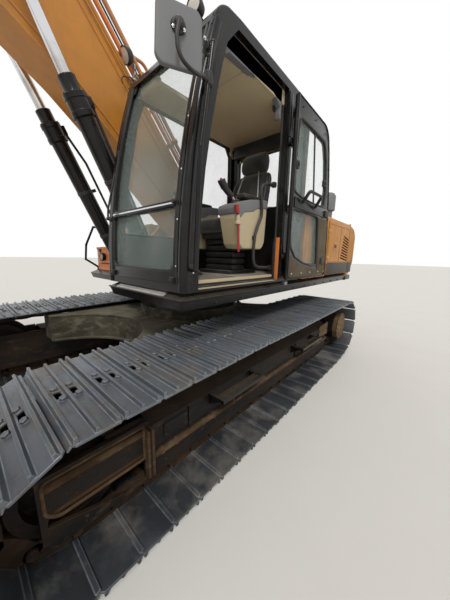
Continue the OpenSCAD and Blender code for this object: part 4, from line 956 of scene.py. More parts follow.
# Roof with a clear hatch over its front part
HATCH = (360, 780, 450, 1198)
roof_rear = [(-230, CAB_TOP), (-390, 2905), (-450, 2735)]
rear_inner = [(-230, 2925), (-350, 2865), (-410, 2735)]
roof_line = roof_curve(2765, 0, 3) + [(695, CAB_TOP)] + roof_rear
roof_inner = roof_curve(2765, 40, 3) + [(655, 2925)] + rear_inner
roof = Piece("roof", "upper", "black")
for y0, y1 in ((CAB_RIGHT + 40, HATCH[2]), (HATCH[3], CAB_LEFT - 40)):
    roof.side(roof_line + roof_inner[::-1], y0, y1, None, 1)
roof.side(roof_curve(GLASS_TOP, 0, 2) + roof_curve(GLASS_TOP, 40, 2)[::-1], CAB_RIGHT + 40,
          CAB_LEFT - 40, None, 1)
roof.side([(HATCH[0], CAB_TOP)] + roof_rear + rear_inner[::-1] + [(HATCH[0], 2925)],
          CAB_RIGHT + 40, CAB_LEFT - 40, None, 1)
visor = front_line(2828, FRONT_TOP, -10, 2)[:-1] + arc(775, 2810, 162, 15, 60, 5)
visor += arc(775, 2810, 146, 60, 15, 5) + front_line(2828, FRONT_TOP, 6, 2)[1::-1]
roof.side(visor, CAB_RIGHT + 30, CAB_LEFT - 30, None, 3)
roof.plan(rect(-250, 395, 300, 1250, 60), 2962, 2978, None, 5)
for y in (CAB_RIGHT + 14, CAB_LEFT - 14):
    roof.pipe(along(roof_line[1:], y), 13, None, 60, 10)
roof.pipe([(HATCH[0], HATCH[2], 2966), (HATCH[1], HATCH[2], 2958), (HATCH[1], HATCH[3], 2958),
           (HATCH[0], HATCH[3], 2966)], 16, "rubber", 60, 8, True)
roof.spin([(0, 16), (12, 16), (16, 9), (22, 4), (95, 2.5), (98, 0)], at(-230, 1225, 2962, "Z"), "dark", 12)
roof.spin([(0, 24), (10, 24), (16, 13), (58, 11), (64, 6)], at(-322, 1290, 2950, "Z"), "dark", 16)
roof.make("cab_roof")
hatch = Piece("roof_hatch", "upper", "glass")
hatch.box((HATCH[0] - 4, HATCH[2] - 4, 2944), (HATCH[1] + 4, HATCH[3] + 4, 2952), None, 2)
hatch.make()

# Wiper parked beside the right pillar
wiper = Piece("wiper", "upper", "dark")
wiper.spin([(0, 20), (22, 20), (30, 12), (46, 12)], at(front_x(1770) + 4, 372, 1770, "X"))
wiper.pipe([(front_x(1770) + 40, 372, 1770), (front_x(1850) + 46, 380, 1850),
            (front_x(2120) + 34, 425, 2120)], 8, None, 30, 10)
wiper.pipe([(front_x(z) + 20, 431 + (z - 1880) * 0.03, z) for z in range(1880, 2401, 65)], 7, "rubber", 0, 8)
wiper.pipe([(front_x(z) + 30, 431 + (z - 1980) * 0.03, z) for z in range(1980, 2301, 80)], 5, None, 0, 8)
wiper.make()

# Rail clamps and the mirror on its arm
clamps = Piece("rail_clamps", "upper", "dark")
RAIL_Y = CAB_LEFT + 48
clamps.box((985, CAB_LEFT, 2628), (1015, CAB_LEFT + 30, 2672), None, 6)
clamps.box((970, CAB_LEFT - 1, 2606), (1030, CAB_LEFT + 5, 2694), None, 3)
clamps.box((1100, CAB_LEFT - 1, 1368), (1160, CAB_LEFT + 6, 1432), None, 3)
for x, z in ((980, 2622), (1020, 2680), (1112, 1380), (1148, 1420)):
    clamps.bolt(at(x, CAB_LEFT + 4, z, "Y"), 7, 6, "chrome")
clamps.spin([(-38, 15), (-30, 23), (-12, 25), (12, 25), (30, 23), (38, 15)],
            move(1031, RAIL_Y, 2458, 81))
clamps.box((1040, RAIL_Y - 16, 2440), (1072, RAIL_Y + 16, 2472), None, 6)
clamps.make()
mirror = Piece("mirror", "upper", "grey")
place = move(1290, RAIL_Y + 77, 2500) @ yaw(-25) @ SIDE
shell = rounded([(-108, -150), (88, -155), (115, -122), (104, 88), (82, 106), (-85, 104), (-108, 76)],
                [28, 30, 40, 25, 25, 25, 25], 4)
mirror.solid(shell, 30, place @ move(0, 0, 18), None, 11, 4)
mirror.solid([(x * 0.92, z * 0.94) for x, z in shell], 6, place @ move(0, 0, 34), "chrome", 1)
knuckle = move(1298, RAIL_Y + 78, 2508) @ yaw(65)
mirror.spin([(-14, 37), (-6, 36), (2, 32), (6, 24), (22, 20), (27, 12)], knuckle, "dark")
mirror.bolt_ring(knuckle @ move(2, 0, 0), 3, 27, 6, 6, "chrome", 0.75, True)
mirror.pipe([(1056, RAIL_Y + 8, 2440), (1144, 1457, 2385), (1199, 1478, 2356), (1254, 1494, 2337),
             (1308, 1492, 2350), (1330, 1486, 2390), (1333, 1485, 2440), (1318, 1484, 2500)], 9, "dark", 60,
            12)
mirror.make("side_mirror")


def work_lamp(p, place, r, depth):
    """A round lamp that shines along X, its back at the origin."""
    p.spin([(0, r * 0.45), (depth * 0.2, r * 0.85), (depth * 0.6, r), (depth, r), (depth, r * 0.9),
            (depth - 8, r * 0.88)], place, "dark")
    p.spin([(depth - 9, r * 0.87), (depth - 3, r * 0.86), (depth + 2, r * 0.5), (depth + 3, 0)], place,
           "lens", 24)


lamps = Piece("work_lamps", "upper", "dark")
lamps.box((620, 1085, 2966), (700, 1115, 2980), None, 3)
lamps.pipe([(640, 1100, 2974), (820, 1100, 2976), (850, 1100, 2984)], 9, None, 20)
work_lamp(lamps, move(838, 1100, 3027) @ yaw(12), 54, 78)
lamps.pipe([(838, 1100, 3020), (800, 1105, 3000), (760, 1120, 2970), (700, 1140, 2966)], 5, None, 20, 8)
work_lamp(lamps, move(690, -980, 1440), 56, 52)
lamps.make("lamps")


# ---------- inside the cab ----------
CAB_MID = (CAB_LEFT + CAB_RIGHT) / 2
CEILING = 2790
lining = Piece("cab_lining", "upper", "beige")
lining.plan(rect(-390, 380, 548, 1262, 30), CEILING, CEILING + 25, None, 6)
well = [(566, 380), (900, 380), (900, 655), (890, 668), (600, 668), (566, 655)]
lining.plan(rounded(well, 18), CEILING, CEILING + 30, None, 8)
lining.plan([(x, 2 * CAB_MID - y) for x, y in rounded(well, 18)][::-1], CEILING, CEILING + 30, None, 8)
lining.front([(655, CEILING + 4), (668, CEILING + 4), (440, 2944), (420, 2944)], 566, 800, None, 2)
lining.front([(980, CEILING + 4), (993, CEILING + 4), (1212, 2944), (1196, 2944)], 566, 800, None, 2)
lining.side([(548, CEILING + 6), (568, CEILING + 6), (372, 2944), (352, 2944)], 400, 1230, None, 2)
lining.side(rounded([(840, 2775), (905, 2775), (893, 2850), (840, 2850)], 20), 400, 660, None, 5)
for y0, y1 in ((CAB_RIGHT + 42, 384), (1256, CAB_LEFT - 42)):
    lining.side(rounded([(-400, 2650), (-330, 2740), (-330, 2792), (870, 2792), (900, 2760), (905, 2900),
                         (-400, 2900)], 15), y0, y1, None, 3)
rail = [(60, 2900), (60, 2662), (84, 2662), (92, 2700), (86, 2752), (120, 2778), (200, 2803), (753, 2779),
        (893, 2690), (915, 2690), (905, 2900)]
lining.side(rounded(rail, 10), 1242, CAB_LEFT - 42, "grey", 4)
for x0, x1 in ((150, 395), (450, 700)):
    lining.side(rect(x0, 2838, x1, 2872, 12), 1240, 1246, "dark", 1)
lining.spin([(0, 26), (5, 26), (5, 17), (1, 15)], at(105, 1241, 2745, "-Y"), "dark", 20)
lining.box((CAB_REAR + 42, 410, 2655), (CAB_REAR + 95, 1240, CEILING), "dark", 14)
for y in range(500, 1160, 24):
    lining.box((CAB_REAR + 92, y, 2690), (CAB_REAR + 98, y + 9, 2750), "dark", 2)
lining.box((CAB_REAR + 42, 372, SILL), (CAB_REAR + 90, 1276, 2040), "dark", 16)
lining.side([(CAB_REAR + 60, SILL), (40, SILL), (40, 1600), (-20, 1820), (CAB_REAR + 60, 1840)],
            1262, 1286, "dark", 6)
lining.side([(CAB_REAR + 60, SILL), (1080, SILL), (1060, 1645), (CAB_REAR + 60, 1655)], CAB_RIGHT + 42,
            CAB_RIGHT + 62, "dark", 6)
lining.make()

deck = Piece("cab_mat", "upper", "mat")
deck.plan(rect(-380, 385, 1085, 1255, 40), SILL, SILL + 9, None, 3)
for x in range(560, 1066, 22):
    deck.box((x, 420, SILL + 8), (x + 9, 1230, SILL + 13), None, 2)
deck.box((62, 1258, SILL - 12), (1060, 1286, SILL + 11), "beige", 4)
deck.box((62, 1284, 1268), (1060, CAB_LEFT + 2, 1271), "beige", 1)
deck.box((12, 1286, 1269), (21, CAB_LEFT - 5, 1672), "orange", 2)
for z in (1300, 1460, 1630):
    deck.bolt(at(16, CAB_LEFT - 9, z, "Y"), 4, 4, "dark")
deck.make()

# Consoles on both sides of the seat
console = Piece("seat_consoles", "upper", "beige")
body = rounded([(164, 1556), (456, 1553), (495, 1585), (551, 1790), (558, 1838), (491, 1870), (121, 1935),
                (105, 1900), (125, 1620)], [60, 40, 40, 30, 25, 30, 25, 25, 60], 4)
cap = rounded([(95, 1925), (258, 1905), (327, 1868), (448, 1846), (499, 1800), (529, 1800), (566, 1832),
               (575, 1868), (563, 1895), (491, 1925), (370, 1962), (198, 1990), (104, 1995)],
              [20, 60, 50, 30, 25, 25, 25, 20, 25, 40, 60, 30, 25], 4)
for y in (1035, 2 * CAB_MID - 1222):
    console.side(body, y, y + 187, None, 16, segments=3)
    console.side(cap, y - 6, y + 193, "grey", 14, segments=3)
    middle = y + 93
    console.box((160, middle - 50, 1980), (400, middle + 50, 2022), "dark", 20, None, 3)
    console.box((150, middle - 60, 1560), (300, middle - 20, 1580), "dark", 6)
for z in range(1352, 1662, 62):
    console.box((130, CAB_MID - 185, z), (330, CAB_MID + 185, z + 50), "dark", 18, None, 2)
console.box((-40, CAB_MID - 200, SILL + 9), (400, CAB_MID + 200, 1352), "dark", 8)
console.box((-60, CAB_MID - 190, 1650), (380, CAB_MID + 190, 1712), "dark", 14)
for y in (1010, 2 * CAB_MID - 1040):
    console.box((0, y, 1600), (300, y + 30, 1680), "dark", 6)
console.make("consoles")

levers = Piece("control_levers", "upper", "dark")
for y, lean in ((1120, 1), (2 * CAB_MID - 1120, -1)):
    levers.spin([(0, 62), (8, 60), (18, 44), (28, 47), (36, 32), (46, 35), (54, 20), (60, 0)],
                at(440, y, 1908, "Z"), "rubber", 24)
    y1, y2 = y - lean * 4, y - lean * 6
    levers.pipe([(440, y, 1930), (485, y, 1968), (535, y1, 1998)], 11, "chrome", 20)
    levers.pipe([(500, y, 1978), (550, y1, 2006), (598, y2, 2040), (612, y2, 2058)], 25, None, 30, 16)
    levers.pipe([(580, y2, 2030), (616, y2, 2064), (624, y2, 2078)], 31, None, 10, 16)
    levers.bar((618, y2, 2068), (630, y2, 2088), 9, "red", 12)
levers.spin([(0, 26), (22, 24), (30, 18), (46, 20), (60, 14), (74, 11)],
            at(545, 1232, 1742, "Z"), "beige", 20)
levers.pipe([(545, 1232, 1800), (552, 1232, 1840)], 10, "dark", 0)
levers.pipe([(552, 1232, 1828), (560, 1232, 1850), (572, 1232, 1888)], 19, "red", 10, 16)
levers.pipe([(542, 1234, 1742), (540, 1236, 1690), (532, 1236, 1524)], 9, "red", 20)
bar_path = [(40, 1236, 2146), (150, 1240, 2132), (238, 1240, 2096), (244, 1240, 2020), (216, 1240, 1900),
            (222, 1240, 1840), (268, 1240, 1764), (309, 1240, 1675), (322, 1240, 1560), (322, 1240, 1470),
            (300, 1240, 1415), (238, 1240, 1392), (60, 1240, 1384)]
levers.pipe(bar_path, 13, None, 45, 12)
for z in (2146, 1384):
    levers.box((20, 1224, z - 22), (62, 1262, z + 22), None, 6)
levers.box((290, 1222, 1635), (330, 1236, 1668), None, 4)
for s in (-1, 1):
    y = CAB_MID + s * 62
    levers.pipe([(800, y, SILL + 30), (812, y, 1500), (770, y, 1690), (752, y + s * 18, 1800)], 9, None, 60)
    levers.pipe([(755, y + s * 14, 1786), (742, y + s * 24, 1850), (738, y + s * 24, 1880)], 17, None, 20, 14)
    y = CAB_MID + s * 110
    pedal = move(795, y, SILL + 46, 14)
    levers.box((-105, -46, -6), (105, 46, 6), None, 4, pedal)
    for k in range(8):
        levers.box((-92 + k * 25, -40, 5), (-80 + k * 25, 40, 10), "rubber", 2, pedal)
    levers.box((780, y - 14, SILL), (810, y + 14, SILL + 46), None, 4)
levers.make("levers")


def cushion(name, outline, y0, y1, place, puff):
    """A padded block: its outline is rounded off all round and its faces bulge by puff."""
    p = Piece(name, "upper", "cloth", AT @ place)
    p.side(outline, y0, y1, None, 1)
    obj = p.make()
    remesh = obj.modifiers.new("even", "REMESH")
    remesh.mode = "VOXEL"
    remesh.voxel_size = 0.012
    graph = bpy.context.evaluated_depsgraph_get()
    mesh = bpy.data.meshes.new_from_object(obj.evaluated_get(graph))
    obj.modifiers.clear()
    back = (AT @ place).inverted()
    bm = bmesh.new()
    bm.from_mesh(mesh)
    for _ in range(9):
        bmesh.ops.smooth_vert(bm, verts=bm.verts, factor=0.5, use_axis_x=True,
                              use_axis_y=True, use_axis_z=True)
    xs = [(back @ v.co) for v in bm.verts]
    low = Vector([min(q[i] for q in xs) for i in range(3)])
    high = Vector([max(q[i] for q in xs) for i in range(3)])
    bm.normal_update()
    for v, q in zip(bm.verts, xs):
        t = [(q[i] - low[i]) / (high[i] - low[i]) * 2 - 1 for i in range(3)]
        swell = max(0.0, 1 - t[1] ** 4) * max(0.0, 1 - min(abs(t[0]), abs(t[2])) ** 2)
        v.co += v.normal * (puff * swell / 1000)
    bm.to_mesh(mesh)
    bm.free()
    mesh.shade_smooth()
    old = obj.data
    obj.data = mesh
    bpy.data.meshes.remove(old)
    return obj


# Seat: cushions with rounded, full shapes and light bolster strips
BACK = move(-80, CAB_MID, 1830, 12)
seat = cushion("seat_cushion", rounded([(-70, 1718), (430, 1718), (452, 1770), (440, 1822), (380, 1842),
                                        (-40, 1826), (-80, 1800)], 30), CAB_MID - 243, CAB_MID + 243,
               Matrix.Identity(4), 12)
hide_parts("seat")
cushion("seat_back", rounded([(-112, -40), (14, -40), (30, 120), (8, 330), (0, 500), (-24, 560), (-80, 565),
                              (-112, 520)], 35), -196, 196, BACK, 16)
cushion("seat_headrest", rounded([(-92, 584), (14, 580), (40, 620), (36, 712), (2, 770), (-52, 774),
                                  (-92, 730)], 34), -146, 146, BACK, 18)
trim = Piece("seat_trim", "upper", "dark", AT @ BACK)
for s in (-1, 1):
    trim.pipe([(14, s * 92, 560), (26, s * 112, 480), (34, s * 138, 330), (48, s * 158, 200),
               (62, s * 164, 90)], 7, "silver", 60, 8)
    trim.pipe([(0, s * 192, 0), (6, s * 204, 120), (2, s * 204, 400), (-30, s * 184, 520)], 26, None, 80, 12)
trim.box((-124, -180, -60), (-106, 180, 540), None, 10)
for s in (-1, 1):
    trim.bar((-46, s * 60, 530), (-46, s * 60, 620), 9, "silver")
trim.make(slot="seat_cloth")


# ---------- cab door, folded back against the house, its inner face outwards ----------
HINGE_X, HINGE_Y = 8, CAB_LEFT + 22
DOOR_Y0, DOOR_Y1, DOOR_TOP = 1374, 1408, 2866


def far_edge(z):
    """Where the door's free edge lies when the door is folded back."""
    return 2 * HINGE_X - (front_x(z) - 131)


door_line = [(-9, 1275), (-9, DOOR_TOP), (-760, DOOR_TOP)]
door_line += [(far_edge(z), z) for z in (2640, 2400, 2150, 1900, 1600, 1275)]
door_line = rounded(door_line, [10, 14, 190, 120, 20, 20, 20, 20, 26], 6)
upper_win = rounded([(-52, 2092), (-48, 2430), (-80, 2706), (-440, 2708), (-690, 2700), (-762, 2550),
                     (-834, 2256), (-806, 2064), (-480, 2056), (-210, 2064)],
                    [50, 40, 40, 10, 60, 60, 40, 50, 20, 60], 4)
lower_win = rounded([(-38, 1932), (-34, 1740), (-56, 1590), (-158, 1493), (-360, 1433), (-614, 1399),
                     (-744, 1402), (-700, 1691), (-664, 1938), (-333, 1945)],
                    [40, 60, 90, 90, 120, 60, 30, 20, 40, 20], 4)
door = Piece("door_panel", "door", "black")
door.sheet(door_line, [upper_win, lower_win], DOOR_Y1 - DOOR_Y0 - 8,
           side_at((DOOR_Y0 + DOOR_Y1) / 2), None, 5, 2)
door.pipe(along(door_line, DOOR_Y1 - 7), 1, "rubber", 0, closed=True,
          section=[(-5, -3), (7, -3), (9, 3), (-5, 3)])
for window in (upper_win, lower_win):
    door.pipe(along(window, DOOR_Y1 - 6), 10, "rubber", 0, 8, True)
    door.pipe(along(window, DOOR_Y0 + 4), 8, "rubber", 0, 8, True)
door.box((-34, DOOR_Y1 - 6, 1316), (-16, DOOR_Y1 + 7, DOOR_TOP - 12), None, 5)
waist = rounded([(-965, 1958), (-60, 1950), (-56, 2046), (-480, 2042), (-940, 2050)], 14)
door.side(waist, DOOR_Y1 - 8, DOOR_Y1 + 8, None, 6)
door.side(rounded([(-1012, 1300), (-768, 1300), (-768, 1400), (-724, 1691), (-690, 1935), (-972, 1935)], 20),
          DOOR_Y1 - 8, DOOR_Y1 + 4, "deckdust", 4)
door.side(rounded([(-760, 1292), (-50, 1292), (-50, 1540), (-150, 1462), (-360, 1402), (-614, 1372),
                   (-760, 1374)], 20), DOOR_Y1 - 8, DOOR_Y1 + 3, "deckdust", 4)
door.pipe([(-433, DOOR_Y1 - 14, 2704), (-536, DOOR_Y1 - 14, 2070)], 9, "dark", 0, 8)
door.pipe([(-470, DOOR_Y1 - 26, 2704), (-560, DOOR_Y1 - 26, 2070)], 7, "dark", 0, 8)
for x, z in ((-74, 2318), (-770, 2311)):
    door.box((x - 26, DOOR_Y1 - 20, z - 34), (x + 26, DOOR_Y1 + 10, z + 34), "dark", 6)
    door.box((x - 8, DOOR_Y1 + 8, z - 18), (x + 8, DOOR_Y1 + 22, z + 18), "dark", 4)
grab = [(-206, DOOR_Y1, 2010), (-200, DOOR_Y1 + 30, 2018), (-168, DOOR_Y1 + 98, 2098),
        (-462, DOOR_Y1 + 98, 2100), (-506, DOOR_Y1 + 30, 2018), (-510, DOOR_Y1, 2012)]
door.pipe(grab, 1, "dark", 30, section=[(-10, -13), (10, -13), (14, -8), (14, 8), (10, 13), (-10, 13),
                                        (-14, 8), (-14, -8)])
for x in (-204, -510):
    door.box((x - 34, DOOR_Y1, 1984), (x + 34, DOOR_Y1 + 12, 2034), "dark", 5)
door.box((-960, DOOR_Y1 - 2, 1420), (-830, DOOR_Y1 + 22, 1492), "dark", 10)
door.box((-1006, DOOR_Y0 - 3, 1760), (-950, DOOR_Y1 + 8, 1870), "dark", 8)
door.box((-930, DOOR_Y1 - 2, 1960), (-830, DOOR_Y1 + 24, 2030), "dark", 8)
for x in (-100, -330, -560, -800, -980):
    door.bolt(at(x, DOOR_Y1 + 3, 1328, "Y"), 7, 5, "silver")
for x, z in ((-120, 2800), (-420, 2812), (-700, 2790), (-868, 2480), (-905, 2200), (-938, 2010)):
    door.bolt(at(x, DOOR_Y1 + 1, z, "Y"), 6, 5, "dark")
for z in (1500, 2500):
    door.box((-58, DOOR_Y0 - 10, z - 19), (8, DOOR_Y0 + 1, z + 19), None, 4)
    door.bar((HINGE_X, HINGE_Y, z - 19), (HINGE_X, HINGE_Y, z + 19), 17, None, 20, 3)
    door.bar((HINGE_X, HINGE_Y, z - 30), (HINGE_X, HINGE_Y, z + 30), 7, "silver", 14, 3)
door.make("cab_door")
panes = Piece("door_panes", "door", "glass")
for window in (upper_win, lower_win):
    panes.side(window, DOOR_Y0 + 14, DOOR_Y1 - 15, None, 0.5)
panes.make("door_glass")
posts = Piece("rear_post_ribs", "upper", "black")
for x0, x1, high, kind, bevel in ((-2, 15, 14, None, 6), (-56, -20, 9, None, 6), (-20, -2, 5, "rubber", 3)):
    posts.box((x0, CAB_LEFT - 3, 1290), (x1, CAB_LEFT + high, 2890), kind, bevel)
posts.make()


# ---------- rear house, tanks and counterweight ----------
WALL_Y, PANEL_Y = SIDE_Y - 27, SIDE_Y - 1
REAR_X, SPLIT_X, HOUSE_TOP = -2270, -1260, 2030
STRIPE_LOW, STRIPE_TOP = 1262, 1428
TAIL_X = -2520


def side_panel(side, word):
    """Side door of the engine bay with its grille of hooded slots, catches and hinges."""
    p = Piece("side_panel_" + word, word + "_panel", "house")
    slots, hoods = [], []
    for i in range(9):
        z, shift = 1492 + i * 40, -12 * i
        slots.append(rounded([(-1862 + shift, z), (-1862 + shift, z + 19), (-2225, z - 24), (-2225, z - 43)],
                             7, 3))
        hoods.append(((-1856 + shift, z + 20), (-2230, z - 24)))
    y = side * (PANEL_Y - 9)
    outline = rect(REAR_X + 20, 1258, SPLIT_X - 12, 1984, [12, 12, 24, 24])
    p.sheet(outline, slots, 18, side_at(y), None, 4, 2)
    p.side([(-2240, 1436), (-1830, 1470), (-1950, 1850), (-2240, 1830)], side * (WALL_Y - 24),
           side * (WALL_Y - 20), "rubber", 1)
    out = side * (PANEL_Y + 1)
    lip = [(-6, -3), (9, -1), (9, 3), (-6, 5)]
    for (x0, z0), (x1, z1) in hoods:
        p.pipe([(x0, out, z0), (x1, out, z1)], 1, None, 0,
               section=lip if side > 0 else [(-a, b) for a, b in lip])
    seams = [(-2236, z, -1290, z) for z in (1448, 1950)] + [(x, 1448, x, 1950) for x in (-2236, -1296, -1790)]
    for x0, z0, x1, z1 in seams:
        p.pipe([(x0, out, z0), (x1, out, z1)], 6, None, 0, 8)
    p.side(rect(-1640, 1600, -1500, 1720, 14), side * (PANEL_Y - 3), side * (PANEL_Y + 4), None, 3)
    p.box((-1612, side * (PANEL_Y + 2), 1636), (-1528, side * (PANEL_Y + 9), 1684), "dark", 5)
    p.box((REAR_X + 22, side * PANEL_Y, STRIPE_LOW),
          (SPLIT_X - 14, side * (PANEL_Y + 3), STRIPE_TOP + 2), "stripe", 1)
    for z in (1500, 1850):
        p.box((SPLIT_X - 62, side * PANEL_Y, z - 21), (SPLIT_X + 2, side * (PANEL_Y + 9), z + 21), None, 3)
        p.bar((SPLIT_X + 2, side * (WALL_Y + 24), z - 20),
              (SPLIT_X + 2, side * (WALL_Y + 24), z + 20), 11, None, 16, 2)
        for x in (SPLIT_X - 46, SPLIT_X - 24):
            p.bolt(beside(x, PANEL_Y + 8, z, side), 7, 5, "silver")
    p.make(word + "_door")


side_panel(1, "left")
side_panel(-1, "right")

trim = Piece("house_trim", "upper", "house")
for side, x in ((1, -520), (-1, SPLIT_X + 25)):
    y, z = side * (SIDE_Y - 39), HOUSE_TOP - 37
    trim.pipe([(REAR_X, y, z), (x, y, z)], 38, None, 0, 24)
for x in (-1225, -880, -540):
    trim.box((x - 7, WALL_Y + 18, STRIPE_LOW), (x + 7, WALL_Y + 24, 1960), None, 3)
for x0, x1 in ((-1205, -900), (-860, -560)):
    trim.side(rect(x0, 1450, x1, 1930, 24), WALL_Y + 18, WALL_Y + 23, None, 3)
trim.box((SPLIT_X + 16, WALL_Y + 18, STRIPE_LOW), (-505, WALL_Y + 22.5, STRIPE_TOP), "stripe", 1)
for x in (-1190, -915):
    for z in (1475, 1905):
        trim.bolt(at(x, WALL_Y + 22, z, "Y"), 8, 6, "silver")
trim.spin([(0, 62), (110, 62), (124, 92), (310, 92), (350, 70), (366, 34), (368, 0)],
          at(-1540, 1204, HOUSE_TOP, "Z"), "grey", 32)
# Hand rail on the roof of the house and tread plates
for side in (1, -1):
    y = side * 900
    rail = [(-2150, y, HOUSE_TOP), (-2150, y, HOUSE_TOP + 120), (-1450, y, HOUSE_TOP + 120),
            (-1450, y, HOUSE_TOP)]
    trim.pipe(rail, 14, "dark", 60, 12)
    trim.box((-2130, side * 640, HOUSE_TOP), (-1420, side * 830, HOUSE_TOP + 7), "silver", 2)
    trim.studs(range(-2110, -1424, 49), [side * (660 + k * 44) for k in range(4)],
               HOUSE_TOP + 6, 24, side * 12)
trim.make()

hood = Piece("hood_shell", "hood", "house")
hood_line = rounded([(-550, HOUSE_TOP - 18), (-550, HOUSE_TOP + 160), (-430, HOUSE_TOP + 229),
                     (430, HOUSE_TOP + 229), (550, HOUSE_TOP + 160), (550, HOUSE_TOP - 18)],
                    [0, 60, 70, 70, 60, 0], 5)
hood.front(hood_line, REAR_X + 12, SPLIT_X - 8, None, 22, segments=4)
for x in range(-2150, -1742, 34):
    for y in (-420, 60):
        hood.box((x, y, HOUSE_TOP + 226), (x + 16, y + 360, HOUSE_TOP + 233), "dark", 3, None, 1)
for y in (-400, 400):
    hood.bar((SPLIT_X + 10, y - 20, HOUSE_TOP - 5), (SPLIT_X + 10, y + 20, HOUSE_TOP - 5), 14, "dark", 16, 2)
    hood.box((SPLIT_X - 20, y - 20, HOUSE_TOP - 12), (SPLIT_X + 10, y + 20, HOUSE_TOP + 4), "dark", 3)
hood.box((REAR_X + 2, -60, HOUSE_TOP + 40), (REAR_X + 20, 60, HOUSE_TOP + 90), "dark", 6)
hood.make("engine_hood")


FLAT_R = 1500


def revolved(profile, x_front, y_half, steps=120):
    """A ring about the swing axis between the two sides; points nearer than FLAT_R lie on its flat front."""
    part = bmesh.new()
    start = math.atan2(y_half, -math.sqrt(TAIL_R * TAIL_R - y_half * y_half))
    rings = []
    for k in range(steps + 1):
        a = start + (2 * math.pi - 2 * start) * k / steps
        c, s = math.cos(a), math.sin(a)
        ring = []
        for r, z in profile:
            x, y = r * c, r * s
            if r < FLAT_R:
                x = x_front
                y = y_half * (1 - 2 * k / steps)
            ring.append(part.verts.new((x, y, z)))
        rings.append(ring)
    for a, b in zip(rings, rings[1:]):
        for j in range(len(profile)):
            i = (j + 1) % len(profile)
            part.faces.new((a[j], a[i], b[i], b[j]))
    part.faces.new(rings[0][::-1])
    part.faces.new(rings[-1])
    return part


REFLECTOR_TURN, BAND_TURN = 0.3, 0.42
tail = rounded([(500, 1130), (2710, 1130), (2860, 1230), (TAIL_R, 1430), (TAIL_R, 1860), (2890, 1980),
                (2800, 2040), (500, 2040)], [0, 60, 120, 200, 160, 110, 70, 0], 5)
weight = Piece("tail_weight", "upper", "house")
weight.merge(revolved(tail, REAR_X, SIDE_Y), None, "house", 12, 3, 40)
for side in (1, -1):
    weight.box((TAIL_X, side * (SIDE_Y - 30), 1136), (REAR_X + 20, side * (SIDE_Y + 3), 1216),
               "black", 26, None, 4)
    weight.box((TAIL_X, side * (SIDE_Y - 1), STRIPE_LOW),
               (REAR_X - 4, side * (SIDE_Y + 1.5), STRIPE_TOP), "stripe", 1)
    eye = [(TAIL_X - 70, HOUSE_TOP), (TAIL_X + 70, HOUSE_TOP)] + arc(TAIL_X, 2096, 62, -10, 190, 12)
    hole = circle(TAIL_X, 2100, 32, 24)
    weight.sheet(eye, [hole], 40, side_at(side * 620), "house", 4, 2)
    x, y = TAIL_R * math.cos(REFLECTOR_TURN), side * TAIL_R * math.sin(REFLECTOR_TURN)
    facing = Matrix.Rotation(math.pi - side * REFLECTOR_TURN, 4, "Z")
    weight.spin([(0, 46), (5, 42), (7, 0)], move(6 - x, y, 1500) @ facing, "red", 24)
half_arc = math.degrees(BAND_TURN)
band = [arc(0, 0, TAIL_R + d, 180 - half_arc, 180 + half_arc, 24) for d in (2, -4)]
weight.plan(band[0] + band[1][::-1], 1345, STRIPE_TOP, "stripe", 0)
weight.make("counterweight")

tanks = Piece("tank_covers", "upper", "house")
for x0, x1, top in ((-440, 240, 1900), (-1230, -450, 1985)):
    tanks.box((x0, -1310, 1251), (x1, -560, top), None, 26, None, 3)
    tanks.box((x0 + 8, -1252, 1162), (x1 - 8, -568, 1255), None, 6)
    tanks.box((x0 + 60, -1312, 1330), (x1 - 60, -1306, top - 110), None, 3)
    tanks.spin([(0, 70), (12, 70), (14, 58), (44, 56), (50, 48), (52, 0)],
               at((x0 + x1) / 2, -760, top - 1, "Z"), "dark", 28)
    tanks.box((x0 + 120, -1180, top - 2), (x1 - 120, -980, top + 6), "silver", 2)
    tanks.studs(range(x0 + 140, x0 + 532, 56), range(-1165, -981, 46), top + 5, 26, 12)
    for x in (x0 + 60, x1 - 60):
        for y in (-1270, -600):
            tanks.bolt(at(x, y, top - 1, "Z"), 12, 9, "dark")
tanks.make("fuel_tank", "hydraulic_tank")

box = Piece("tool_box", "upper", "orange")
box.box((250, -1240, 1251), (690, -700, 1568), None, 16, None, 3)
box.box((258, -1232, 1162), (664, -708, 1255), None, 5)
box.box((244, -1246, 1540), (696, -694, 1572), None, 10)
box.box((688, -1180, 1310), (694, -760, 1500), None, 3)
for y in (-1130, -810):
    box.box((690, y - 26, 1505), (702, y + 26, 1552), "dark", 4)
work_lamp(box, move(690, -980, 1440), 56, 52)
box.bar((696, -1100, 1350), (696, -860, 1350), 8, "dark")
for x in (300, 640):
    box.box((x - 60, -1200, 1570), (x + 20, -740, 1577), "silver", 2)
box.make("toolbox")

stack = Piece("exhaust_stack", "upper", "dark")
stack.pipe([(-1500, -700, 1990), (-1500, -700, 2300), (-1540, -700, 2414)], 56, None, 160, 24)
stack.spin([(0, 78), (14, 78), (16, 60)], at(-1500, -700, 1998, "Z"), None, 28)
stack.spin([(0, 47), (-30, 47), (-30, 0)], move(-1540, -700, 2416, 109), "rubber", 24, closed=False)
stack.make("exhaust", slot="engine_grey")


# ---------- boom, arm, bucket and their cylinders ----------
def turn(p, degrees):
    """The point p turned about the origin, in X and Z."""
    a = math.radians(degrees)
    return Vector((p[0] * math.cos(a) - p[1] * math.sin(a), p[0] * math.sin(a) + p[1] * math.cos(a)))


def meet(p, q, rp, rq):
    """The left-hand meeting point of a circle about p and a circle about q."""
    p, q = Vector(p), Vector(q)
    d = (q - p).length
    along_line = (rp * rp - rq * rq + d * d) / (2 * d)
    u = (q - p) / d
    return p + u * along_line + Vector((-u.y, u.x)) * math.sqrt(rp * rp - along_line * along_line)


